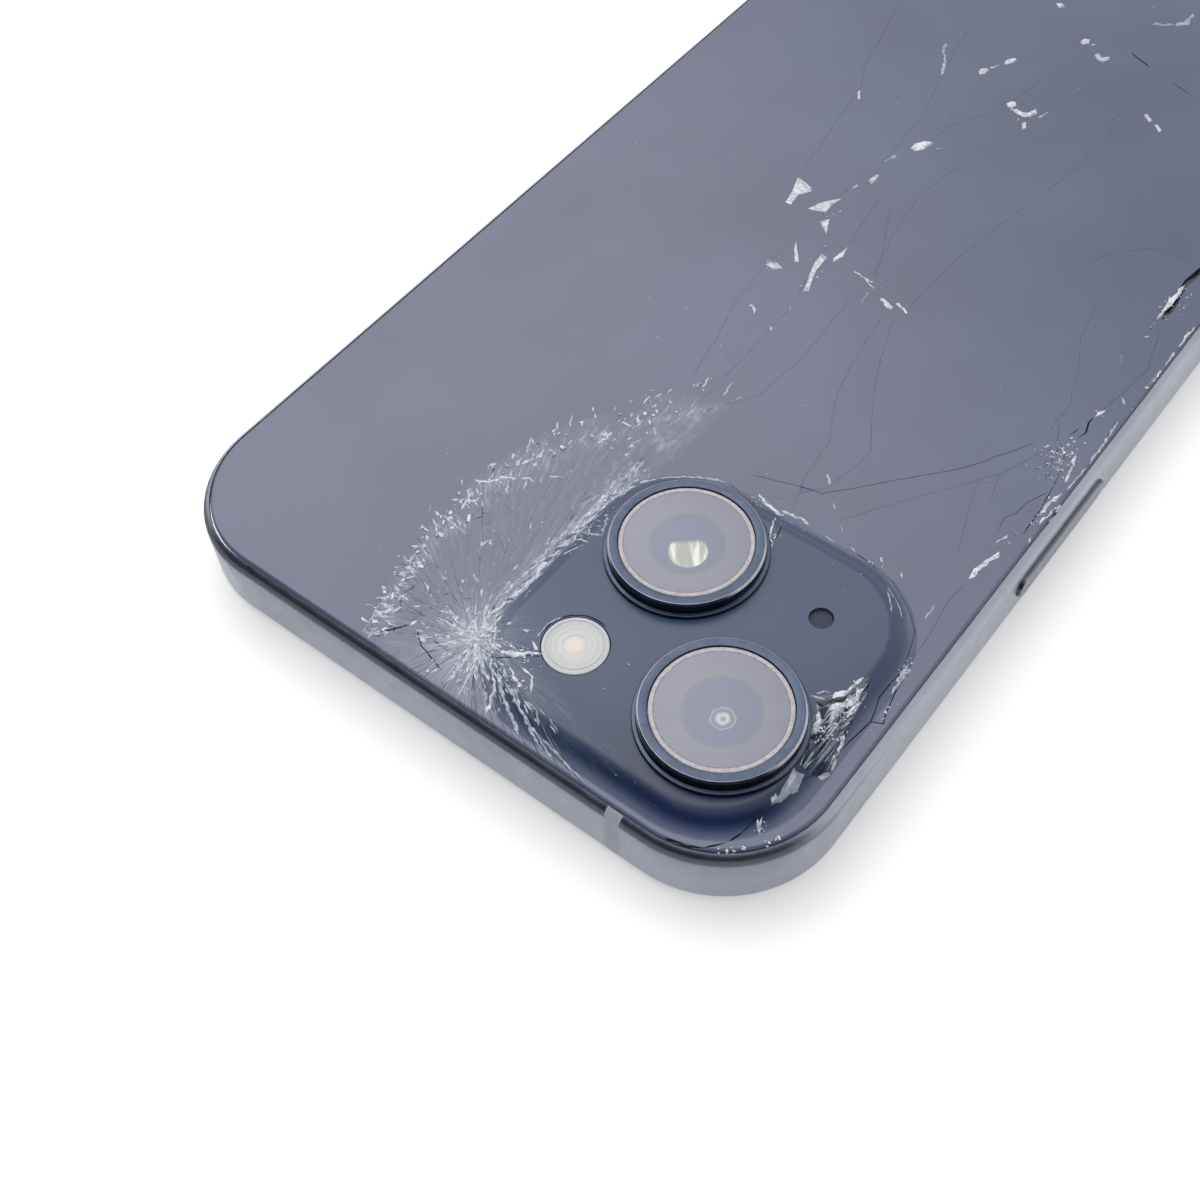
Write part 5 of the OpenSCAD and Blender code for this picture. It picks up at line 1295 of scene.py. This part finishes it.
def glass_crumbs():
    """Loose crumbs where the glass has been crushed, and fine specks over the whole back."""
    crumbs = Scars()
    for spot, spread_mm, count in CRUMBS:
        for _ in range(count):
            at = np.array(spot) + rng.normal(0, 1, 2) * spread_mm
            if on_glass(at, 0.15):
                size = rng.uniform(0.1, 0.4)
                crumbs.crumb(at, size, size * rng.uniform(0.3, 0.8), rng.uniform(0, 180),
                             rng.uniform(0.4, 1), 0.25)
    for _ in range(FAN_CRUMBS):
        angle = rng.uniform(-88, 34)
        at = polar(angle, fan_reach(angle) * rng.normal(0.9, 0.06))
        if on_glass(at) and plateau_depth(at[None])[0] < 0:
            crumbs.crumb(at, rng.uniform(0.4, 1.3), rng.uniform(0.2, 0.5), angle + rng.normal(0, 35),
                         rng.uniform(0.6, 1), 0.2)
    for _ in range(IMPACT_CRUMBS):
        at = STAR + rng.normal(0, 1, 2) * [1.6, 1.9] + [-0.6, 0.8]
        if on_glass(at):
            crumbs.crumb(at, rng.uniform(0.3, 1.1), rng.uniform(0.15, 0.4), radial_angle(at),
                         rng.uniform(0.7, 1), 0.2)
    for _ in range(FINE_CRUMBS):
        at = rng.uniform([-HALF_W, -HALF_L], [HALF_W, HALF_L])
        if on_glass(at):
            size = rng.uniform(0.04, 0.13)
            crumbs.crumb(at, size * rng.uniform(1, 2), size, rng.uniform(0, 180), rng.uniform(0.4, 1))
    for spot in RIM_CRUMBS:
        for _ in range(GAP_CRUMBS):
            at = np.array(spot) + rng.normal(0, 0.12, 2)
            crumbs.crumb(at, rng.uniform(0.15, 0.35), rng.uniform(0.12, 0.25), rng.uniform(0, 180), 1.0, 0.2)
    crumbs.build("glass_crumbs")


# ---------------------------------------------------------------- cameras, flash and microphone


SEGMENTS = 144
# least angle in degrees of an edge that stays sharp
SHARP_FROM = 28


def lathe(name, profile, at, body, materials, node, bands=None):
    """A piece turned about an upright axis from a profile of (radius, height), with each band's material."""
    vertices, rings = [], []
    turns = np.linspace(0, 2 * math.pi, SEGMENTS, endpoint=False)
    for r, z in profile:
        around = turns if r > 0 else turns[:1]
        rings.append([len(vertices) + i for i in range(len(around))])
        vertices += [(at[0] + r * math.cos(t), at[1] + r * math.sin(t), z) for t in around]
    faces, bands_of_faces = [], []
    for k, (lower, upper) in enumerate(zip(rings, rings[1:])):
        for i in range(SEGMENTS):
            j = (i + 1) % SEGMENTS
            if len(lower) == 1:
                faces.append((lower[0], upper[j], upper[i]))
            elif len(upper) == 1:
                faces.append((lower[i], lower[j], upper[0]))
            else:
                faces.append((lower[i], lower[j], upper[j], upper[i]))
            bands_of_faces.append(bands[k] if bands else 0)
    mesh = new_mesh(name, vertices, faces, smooth=True)
    mesh.polygons.foreach_set("material_index", bands_of_faces)
    mesh.update()
    mesh.set_sharp_from_angle(angle=math.radians(SHARP_FROM))
    place(mesh, name, body, materials, node)


def arc(centre, r, start, end, steps):
    """Points along an arc, angles in degrees."""
    return [(centre[0] + r * math.cos(t), centre[1] + r * math.sin(t))
            for t in np.radians(np.linspace(start, end, steps))]


RING_FOOT_R = radius(ring_low, ring_high)
RING_R = RING_FOOT_R - 0.4
RING_TUBE_R, RING_BORE_R = 6.5, 5.0
RING_FOOT_T = 0.4
RING_SINK = 0.25
FOOT_ROUND, FOOT_FILLET, TOP_ROUND = 0.12, 0.08, 0.06
# how far under the ring's top its side ends, and the bright chamfer starts
SIDE_END, CHAMFER_START = 0.24, 0.22
CHAMFER = 0.14
WINDOW_R = radius(window_low, window_high)
WINDOW_GAP = 0.05
WINDOW_BEVEL, WINDOW_RIM = 0.12, 0.42
BARREL_R = radius(barrel_low, barrel_high)
ELEMENT_R = 3.5
ELEMENT_CROWN = 0.28


def lens_ring(name, at):
    """Anodised ring: a foot on the plateau, a straight side and a bright chamfer round a flat top."""
    top, foot_top, seat = ring_high[2], PLATEAU_Z + RING_FOOT_T, window_low[2]
    sunk = PLATEAU_Z - RING_SINK
    shoulder = top - TOP_ROUND
    profile = [(RING_BORE_R, ring_low[2]), (RING_TUBE_R, ring_low[2])]
    profile += [(RING_TUBE_R, sunk), (RING_FOOT_R, sunk)]
    profile += arc((RING_FOOT_R - FOOT_ROUND, foot_top - FOOT_ROUND), FOOT_ROUND, 0, 90, 5)
    profile += arc((RING_R + FOOT_FILLET, foot_top + FOOT_FILLET), FOOT_FILLET, 270, 180, 4)
    profile += [(RING_R, top - SIDE_END)]
    profile += arc((RING_R - TOP_ROUND, top - CHAMFER_START), TOP_ROUND, 0, 45, 4)
    chamfer_from = len(profile) - 1
    profile += arc((RING_R - TOP_ROUND - CHAMFER, shoulder), TOP_ROUND, 45, 90, 4)
    chamfer_to = len(profile) - 1
    profile += arc((WINDOW_R + WINDOW_GAP + TOP_ROUND, shoulder), TOP_ROUND, 90, 180, 4)
    profile += [(WINDOW_R + WINDOW_GAP, seat), (RING_BORE_R, seat), (RING_BORE_R, ring_low[2])]
    bands = [int(chamfer_from <= k < chamfer_to) for k in range(len(profile) - 1)]
    materials = [MATERIALS["lens_ring"], bright_edge]
    lathe(name + "_turned", profile, at, "phone", materials, name, bands)


def lens_window(name, at, face):
    """Window of glass with a ground rim that catches the light."""
    low, top = window_low[2], window_high[2]
    rim_r = WINDOW_R - WINDOW_RIM
    profile = [(0, low), (WINDOW_R - 0.1, low), (WINDOW_R, low + 0.1), (WINDOW_R, top - WINDOW_BEVEL)]
    profile += arc((WINDOW_R - WINDOW_BEVEL, top - WINDOW_BEVEL), WINDOW_BEVEL, 22, 90, 4)
    profile += [(rim_r, top), (rim_r - 0.05, top - 0.012), (rim_r - 0.1, top), (0, top)]
    bands = [0] + 7 * [1] + [2, 2, 0]
    materials = [face, window_rim, window_line]
    lathe(name + "_glass", profile, at, "phone", materials, name, bands)


def lens_barrel(name, at, body, pupil_r):
    """Black barrel with stepped stops round a coated front element and its pupil."""
    low, top = barrel_low[2], barrel_high[2]
    profile = [(0, low), (BARREL_R, low), (BARREL_R, top - 0.1), (BARREL_R - 0.1, top)]
    profile += [(ELEMENT_R + 0.25, top), (ELEMENT_R + 0.2, top - 0.2), (ELEMENT_R, top - 0.2)]
    element_from = len(profile) - 1
    shares = np.linspace(1, pupil_r / ELEMENT_R, 9)
    profile += [(ELEMENT_R * s, top - 0.3 + ELEMENT_CROWN * (1 - s * s)) for s in shares]
    pupil_from = len(profile) + 1
    z = profile[-1][1]
    profile += [(pupil_r - 0.08, z - 0.05), (pupil_r - 0.2, z - 0.05), (pupil_r - 0.28, z + 0.01)]
    profile += [(pupil_r * 0.45, z + 0.05), (0, z + 0.06)]
    bands = [int(k >= element_from) + int(k >= pupil_from) for k in range(len(profile) - 1)]
    # the pupil's pale finish is a painted reflection
    materials = [MATERIALS["lens_barrel"], coated_element, pupil_painted_reflection]
    lathe(name + "_turned", profile, at, body, materials, name, bands)


# moulded rings of the flash window: radius and depth
FLASH_RINGS = ((2.62, 0.07), (2.15, 0.035), (1.65, 0.035), (1.05, 0.05))


def flash():
    """Milky flash window with moulded rings."""
    low, top = flash_low[2], flash_high[2]
    case_r = radius(flash_low, flash_high)
    rim_r, rim_round = case_r - 0.3, 0.1
    profile = [(0, low), (case_r, low), (case_r, glass_low[2])]
    profile += [(rim_r, glass_low[2]), (rim_r, top - rim_round)]
    profile += arc((rim_r - rim_round, top - rim_round), rim_round, 15, 90, 5)
    for r, depth in FLASH_RINGS:
        profile += [(r + 0.12, top), (r + 0.04, top - depth)]
        profile += [(r - 0.04, top - depth), (r - 0.14, top - 0.005)]
    profile += [(0.5, top), (0, top - 0.02)]
    material = [MATERIALS["flash_window"]]
    lathe("flash_window_milky", profile, FLASH_AT, "phone", material, "flash_window")


WEAVE_PITCH, WEAVE_STEPS, WEAVE_DEPTH = 0.15, 61, 0.03


def mic_mesh():
    """Woven mesh over the rear microphone."""
    r = radius(mic_low, mic_high)
    line = np.linspace(-r, r, WEAVE_STEPS)
    index, vertices = {}, []
    for i, x in enumerate(line):
        for j, y in enumerate(line):
            if x * x + y * y <= r * r:
                index[i, j] = len(vertices)
                weave = math.sin(math.pi * x / WEAVE_PITCH) * math.sin(math.pi * y / WEAVE_PITCH)
                z = mic_high[2] - WEAVE_DEPTH + WEAVE_DEPTH * weave
                vertices.append((MIC_AT[0] + x, MIC_AT[1] + y, z))
    squares = ([(i, j), (i + 1, j), (i + 1, j + 1), (i, j + 1)] for i, j in index)
    faces = [[index[c] for c in corners] for corners in squares if all(c in index for c in corners)]
    mesh = new_mesh("rear_mic_weave", vertices, faces, smooth=True)
    place(mesh, "rear_mic_weave", "phone", [MATERIALS["mesh"]], "rear_mic_mesh")


# ---------------------------------------------------------------- stage, light and camera

FLOOR_HALF = 4000.0
FLOOR_Z = -0.1
FLOOR_LIFT = 0.3


def floor():
    """Pale floor that keeps the shadow of the phone."""
    paint = Paint("pale_floor")
    tone = paint.noise(0.01, 2.0).mix((0.90, 0.90, 0.90), (0.92, 0.92, 0.92))
    diffuse = add(paint.tree, "BsdfDiffuse", {"Color": tone})
    glow = add(paint.tree, "Emission", {"Strength": see_through_rays(paint.tree) * FLOOR_LIFT})
    material = paint.surface("AddShader", diffuse, glow)
    signs = ((-1, -1), (1, -1), (1, 1), (-1, 1))
    corners = [(x * FLOOR_HALF, y * FLOOR_HALF, FLOOR_Z) for x, y in signs]
    new_object(new_mesh("floor", corners, [(0, 1, 2, 3)]), "floor", [material])


WORLD_FILL = 0.62
LIGHT_TOWARD = (0.45, -0.25, 0.857)
LIGHT_FROM_COSINE = 0.8
LIGHT_STRENGTH = 2.0


def studio():
    """White surround, with one broad soft light above the far side."""
    world = bpy.data.worlds.new("studio")
    bpy.context.scene.world = world
    world.use_nodes = True
    tree = world.node_tree
    tree.nodes.clear()
    toward = Value(add(tree, "TexCoord").outputs["Generated"])
    facing = toward.to("VectorMath", {0: toward, 1: LIGHT_TOWARD}, "Value", operation="DOT_PRODUCT")
    lobe = facing.spread(LIGHT_FROM_COSINE, 1.0, interpolation_type="SMOOTHSTEP")
    base = see_through_rays(tree).spread(0.0, 1.0, WORLD_FILL, 1.0)
    from_camera = Value(add(tree, "LightPath").outputs["Is Camera Ray"])
    strength = base + lobe * LIGHT_STRENGTH * (1.0 - from_camera)
    background = add(tree, "Background", {"Color": (1, 1, 1), "Strength": strength})
    tree.links.new(background.outputs[0], add(tree, "OutputWorld").inputs["Surface"])


def reflection_card(name, vertices, rows, strength, closed=False):
    """A dark card, see-through where its strength is low, that only reflections see."""
    paint = Paint(name)
    clear = add(paint.tree, "BsdfTransparent")
    black = add(paint.tree, "BsdfDiffuse", {"Color": (0.03, 0.04, 0.06)})
    material = paint.surface("MixShader", clear, black, paint.attribute("edge"))
    mesh = new_mesh(name, vertices, grid_faces(rows, len(vertices) // rows, closed))
    set_attribute(mesh, "edge", "POINT", strength)
    card = new_object(mesh, name, [material])
    for ray in ("camera", "diffuse", "transmission", "volume_scatter", "shadow"):
        setattr(card, "visible_" + ray, False)


# rings of the skirt round the phone: outset and strength
SKIRT_RINGS = ((2.0, 0.0), (3.5, 0.3), (5.0, 0.6), (8.0, 0.8), (30.0, 0.8), (440.0, 0.8))
SKIRT_Z = 0.02
# how far from the top end the skirt fades in, and over what length
SKIRT_FROM, SKIRT_FADE = 25, 20


def dark_skirt():
    """Dark card low round the camera end of the phone."""
    vertices, strength = [], []
    for outset, share in SKIRT_RINGS:
        outline = round_rect((HALF_W, HALF_L), BODY_CORNER, -outset)
        vertices += [(x, y, SKIRT_Z) for x, y in outline]
        near_end = np.clip((outline[:, 1] - (HALF_L - SKIRT_FROM)) / SKIRT_FADE, 0, 1)
        strength += list(share * near_end)
    reflection_card("dark_skirt", vertices, len(SKIRT_RINGS), strength, closed=True)


CARD_R = 450.0
CARD_AT, CARD_SPREAD = 100.0, 85.0
CARD_LOW, CARD_HIGH = 1.0, 62.0
CARD_ACROSS, CARD_UP = 72, 24
# share of the card over which its sides and its top fade
SIDE_FADE, TOP_FADE = 0.2, 0.3


def dark_card():
    """Dark curved card on the camera's side, so that rounded metal edges read."""
    vertices, strength = [], []
    for v in np.arange(CARD_UP + 1) / CARD_UP:
        elevation = math.radians(CARD_LOW + (CARD_HIGH - CARD_LOW) * v)
        for u in 2 * np.arange(CARD_ACROSS + 1) / CARD_ACROSS - 1:
            x, y = CARD_R * math.cos(elevation) * unit(math.radians(CARD_AT + CARD_SPREAD * u))
            vertices.append((x, y, CARD_R * math.sin(elevation)))
            strength.append(min(1, (1 - abs(u)) / SIDE_FADE) * min(1, (1 - v) / TOP_FADE))
    reflection_card("dark_card", vertices, CARD_UP + 1, strength)


CAMERA_AZIMUTH, CAMERA_ELEVATION, CAMERA_ROLL = (math.radians(angle) for angle in (221.34, 54.39, -4.28))
CAMERA_DISTANCE = 146.855
CAMERA_TARGET = Vector((-6.4997, 56.3647, 7.8))
CAMERA_LENS = 48.05
CAMERA_NEAR, CAMERA_FAR = 0.005, 20


def camera():
    """Looks down on the camera corner, as in the photograph."""
    flat = math.cos(CAMERA_ELEVATION)
    back = Vector((math.sin(CAMERA_AZIMUTH) * flat, -math.cos(CAMERA_AZIMUTH) * flat,
                   math.sin(CAMERA_ELEVATION)))
    right = Vector((0, 0, 1)).cross(back).normalized()
    up = back.cross(right)
    across = math.cos(CAMERA_ROLL) * right + math.sin(CAMERA_ROLL) * up
    upward = math.cos(CAMERA_ROLL) * up - math.sin(CAMERA_ROLL) * right
    data = bpy.data.cameras.new("camera")
    data.lens = CAMERA_LENS
    data.clip_start, data.clip_end = CAMERA_NEAR, CAMERA_FAR
    eye = bpy.data.objects.new("camera", data)
    place_at = (CAMERA_TARGET + back * CAMERA_DISTANCE) * MM
    eye.matrix_world = Matrix.Translation(place_at) @ Matrix((across, upward, back)).transposed().to_4x4()
    bpy.context.scene.collection.objects.link(eye)
    bpy.context.scene.camera = eye


# ---------------------------------------------------------------- finishes of the other parts

# turn in degrees that lays a lens's pupil towards the corner of the body nearest to it
PUPIL_TURN = -41.3
# the lilac disc deep in a lens: how far from the middle, and where its soft edge starts and ends
DISC_TOWARD, DISC_R = 0.35, (2.9, 3.7)


def pupil_streaks(flat):
    """Pale streaks across the main lens's pupil: painted reflections from inside the lens."""
    stops = [(0.44, (0.42, 0.44, 0.40)), (0.54, (0.56, 0.57, 0.51)), (0.6, (0.86, 0.87, 0.80))]
    return flat.mapped((0.8, 0.12, 0)).noise(1.5).ramp(stops)


def pupil_rings(paint, share):
    """Pale and dark rings, a little uneven, in the wide lens's pupil: painted reflections from inside the
    lens.
    """
    stops = [(0.0, (0.30, 0.30, 0.36)), (0.12, (0.34, 0.34, 0.40)), (0.3, (0.62, 0.62, 0.68)),
             (0.5, (0.46, 0.46, 0.53)), (0.6, (0.26, 0.27, 0.34)), (0.78, (0.24, 0.25, 0.32)),
             (0.92, (0.40, 0.40, 0.47)), (1.0, (0.20, 0.21, 0.27))]
    uneven = (paint.noise(1.6, 2.0) - 0.5) * 0.35
    return (share + uneven).ramp(stops)


def lens_window_material(name, at, pupil_r, toward, streaked=False):
    """Opaque coated glass with painted reflections: a pale veil for the white surround it reflects, and a
    lilac disc with a darker edge and the pupil, seen deep below its middle.
    """
    paint = Paint(name)
    flat = paint.place().minus((*at * MM, 0)).mapped((1 / MM, 1 / MM, 0), PUPIL_TURN)
    # painted reflection of the white surround on the window
    painted_reflection = paint.noise(0.35).mix((0.250, 0.256, 0.306), (0.285, 0.290, 0.350))
    disc = flat.minus((0, DISC_TOWARD, 0)).length().spread(*DISC_R, 1.0, 0.0)
    colour = (disc * 0.7).mix(painted_reflection, (0.188, 0.212, 0.315))
    colour = (disc * (1.0 - disc) * 1.4).mix(colour, (0.19, 0.195, 0.24))
    reach = flat.minus((0, toward, 0)).length()
    shown = reach.spread(pupil_r - 0.06, pupil_r + 0.06, 1.0, 0.0)
    if streaked:
        shown *= flat.parts()[1].spread(toward - 0.75 * pupil_r, toward - 0.5 * pupil_r)
    # the pupil is painted: streaks or rings that stand for reflections inside the lens
    pupil = pupil_streaks(flat) if streaked else pupil_rings(paint, reach / pupil_r)
    rough = paint.noise(0.8, 4.0).spread(0.3, 0.7, 0.05, 0.11)
    return paint.shade(Base_Color=shown.mix(colour, pupil), Roughness=rough, IOR=GLASS_IOR)


def flash_material():
    """Milky white plastic with a warm centre."""
    paint = Paint("milky_flash")
    reach = paint.place().minus((*FLASH_AT * MM, flash_high[2] * MM)).length()
    share = reach * (1 / (3.1 * MM)) + (paint.noise(1.5) - 0.5) * 0.14
    stops = [(0.0, (0.88, 0.69, 0.57)), (0.13, (0.85, 0.73, 0.65)), (0.32, (0.71, 0.68, 0.66)),
             (0.6, (0.60, 0.61, 0.62)), (1.0, (0.56, 0.575, 0.60))]
    rough = paint.noise(2.0).spread(0.3, 0.7, 0.18, 0.3)
    return paint.shade(Base_Color=share.ramp(stops), Roughness=rough, IOR=1.45)


def band_material(name, dark, light):
    """Anodised satin aluminium: fine blasted grain and faint scuffs."""
    paint = Paint(name)
    tone = paint.noise(0.08, 4.0).spread(0.35, 0.65).mix(dark, light)
    scuffs = paint.noise(0.9, 6.0, 0.7, stretch=(1, 1, 3), distortion=0.8).spread(0.64, 0.74)
    return paint.shade(Base_Color=(scuffs * 0.2).mix(tone, (0.62, 0.62, 0.63)), Metallic=1.0,
                       Roughness=paint.noise(0.7, 5.0).spread(0.3, 0.7, 0.26, 0.36),
                       Normal=paint.noise(26.0, 2.0).bump(0.25, 0.004))


def mesh_material():
    """Dark woven mesh."""
    paint = Paint("woven_mesh")
    cells = paint.place().mapped([1 / MM] * 3)
    weave = cells.to("TexVoronoi", {"Vector": cells, "Scale": 7.0}, "Distance")
    stops = [(0.12, (0.004, 0.005, 0.010)), (0.45, (0.050, 0.058, 0.092))]
    return paint.shade(Base_Color=weave.ramp(stops), Metallic=0.4, Roughness=weave.spread(0.0, 0.6, 0.3, 0.6),
                       Normal=weave.bump(0.5, 0.02))


def screen_glass_material():
    """Black glass face with fine scratches and faint smears."""
    paint = Paint("scratched_screen_glass")
    smear = paint.noise(0.06, 5.0, 0.65, stretch=(1, 2.4, 1), distortion=1.2)
    scratch = paint.noise(0.5, 2.0, 0.5, stretch=(9, 0.25, 1), distortion=0.3)
    return paint.shade(Base_Color=paint.noise(0.03).mix((0.006, 0.006, 0.008), (0.011, 0.011, 0.014)),
                       Roughness=smear.spread(0.4, 0.75, 0.03, 0.16), IOR=1.52,
                       Normal=scratch.spread(0.68, 0.72).bump(0.12, 0.004))


BAND_DARK, BAND_LIGHT = (0.318, 0.334, 0.396), (0.37, 0.386, 0.45)
WIDE_PUPIL_R, MAIN_PUPIL_R = 1.2, 1.8

MATERIALS = {
    "band": band_material("anodised_band", BAND_DARK, BAND_LIGHT),
    "band_parts": band_material("anodised_band_parts", (0.17, 0.18, 0.21), (0.20, 0.21, 0.245)),
    "break_plastic": finish("antenna_break_plastic", (0.32, 0.33, 0.385), (0.37, 0.38, 0.43),
                            0.8, (0.4, 0.55), grain=0.006),
    "steel": finish("stamped_steel", (0.50, 0.51, 0.53), (0.60, 0.61, 0.63),
                    0.25, (0.28, 0.42), 1.0, 0.004, 30.0, (6, 0.4, 1)),
    "seal": finish("foam_seal", (0.012, 0.012, 0.014), (0.03, 0.03, 0.034), 2.0, (0.7, 0.9), grain=0.03),
    "copper": finish("enamelled_copper", (0.48, 0.17, 0.07), (0.60, 0.24, 0.10),
                     1.5, (0.22, 0.35), 1.0, 0.01),
    "shield": finish("ferrite_sheet", (0.035, 0.035, 0.04), (0.06, 0.06, 0.065),
                     0.6, (0.5, 0.7), grain=0.01),
    "magnet": finish("nickel_plate", (0.60, 0.60, 0.61), (0.72, 0.71, 0.70),
                     0.5, (0.15, 0.28), 1.0, 0.003, 25.0),
    "lens_ring": finish("blasted_lens_ring", (0.052, 0.064, 0.094), (0.066, 0.079, 0.112),
                        0.5, (0.24, 0.34), 1.0, 0.003, 30.0),
    "lens_window": lens_window_material("wide_window_painted_reflections", WIDE_AT, WIDE_PUPIL_R, 1.05),
    "lens_barrel": finish("baffled_black", (0.006, 0.006, 0.008), (0.014, 0.014, 0.018),
                          1.0, (0.35, 0.5), grain=0.01),
    "black_plastic": finish("black_moulding", (0.010, 0.010, 0.012), (0.024, 0.024, 0.027),
                            0.6, (0.4, 0.6), grain=0.008),
    "flash_window": flash_material(),
    "flash_lamp": finish("phosphor", (0.80, 0.62, 0.18), (0.90, 0.74, 0.30), 2.0, (0.5, 0.7), grain=0.01),
    "mesh": mesh_material(),
    "gold_case": finish("plated_can", (0.55, 0.46, 0.26), (0.68, 0.58, 0.36), 0.8, (0.2, 0.3), 1.0, 0.003),
    "screen_glass": screen_glass_material(),
    "back_glass": back_glass_material(),
    "screen_panel": finish("panel_film", (0.004, 0.004, 0.006), (0.010, 0.010, 0.014), 0.2, (0.3, 0.5)),
    "cell": finish("cell_wrap", (0.012, 0.012, 0.014), (0.028, 0.028, 0.032),
                   0.3, (0.3, 0.45), grain=0.006),
    "board": finish("solder_mask", (0.010, 0.050, 0.034), (0.020, 0.075, 0.050),
                    1.2, (0.2, 0.35), grain=0.01),
    "switch_case": finish("dome_switch", (0.45, 0.42, 0.32), (0.58, 0.55, 0.44), 1.0, (0.25, 0.4), 1.0),
    "tungsten": finish("sintered_metal", (0.16, 0.155, 0.15), (0.24, 0.23, 0.22),
                       1.2, (0.4, 0.6), 1.0, 0.008),
    "socket": finish("drawn_shell", (0.34, 0.34, 0.36), (0.46, 0.46, 0.48),
                     0.5, (0.25, 0.4), 1.0, 0.003),
    "flex": finish("amber_film", (0.22, 0.085, 0.02), (0.32, 0.13, 0.035), 0.5, (0.25, 0.4), grain=0.003),
}

bright_edge = finish("polished_chamfer", (0.34, 0.35, 0.38), (0.46, 0.47, 0.50),
                     0.6, (0.12, 0.24), 1.0, 0.002)
window_rim = finish("ground_window_rim", (0.42, 0.40, 0.43), (0.58, 0.56, 0.59),
                    3.0, (0.2, 0.45), grain=0.03)
window_line = finish("window_mask_line", (0.10, 0.10, 0.12), (0.30, 0.30, 0.34), 4.0, (0.3, 0.5))
main_window = lens_window_material("main_window_painted_reflections", MAIN_AT, MAIN_PUPIL_R, 1.25, streaked=True)
# pale pupil: painted reflection of the lens's inner elements
pupil_painted_reflection = finish("pupil_painted_reflection", (0.30, 0.32, 0.36), (0.75, 0.76, 0.70), 1.2, (0.15, 0.25))
coated_element = finish("coated_element", (0.20, 0.22, 0.38), (0.27, 0.29, 0.46), 0.5, (0.04, 0.10))


def dress_nodes():
    """Gives every CAD node the finish of its slot."""
    for part in frame["record"]["subparts"]:
        slots = nodes[part["node"]].data.materials
        slots.clear()
        slots.append(MATERIALS[part["material_slot"]])


# ---------------------------------------------------------------- the scene

dress_nodes()
shattered_glass(all_cracks())
glass_scars()
glass_crumbs()
for lens, at, body, face, pupil_r in (("wide", WIDE_AT, "phone", MATERIALS["lens_window"], WIDE_PUPIL_R),
                                      ("main", MAIN_AT, "focus_barrel", main_window, MAIN_PUPIL_R)):
    lens_ring(lens + "_lens_ring", at)
    lens_window(lens + "_lens_window", at, face)
    lens_barrel(lens + "_lens_barrel", at, body, pupil_r)
flash()
mic_mesh()
floor()
studio()
dark_card()
dark_skirt()
camera()
bpy.context.scene.view_settings.view_transform = "Standard"
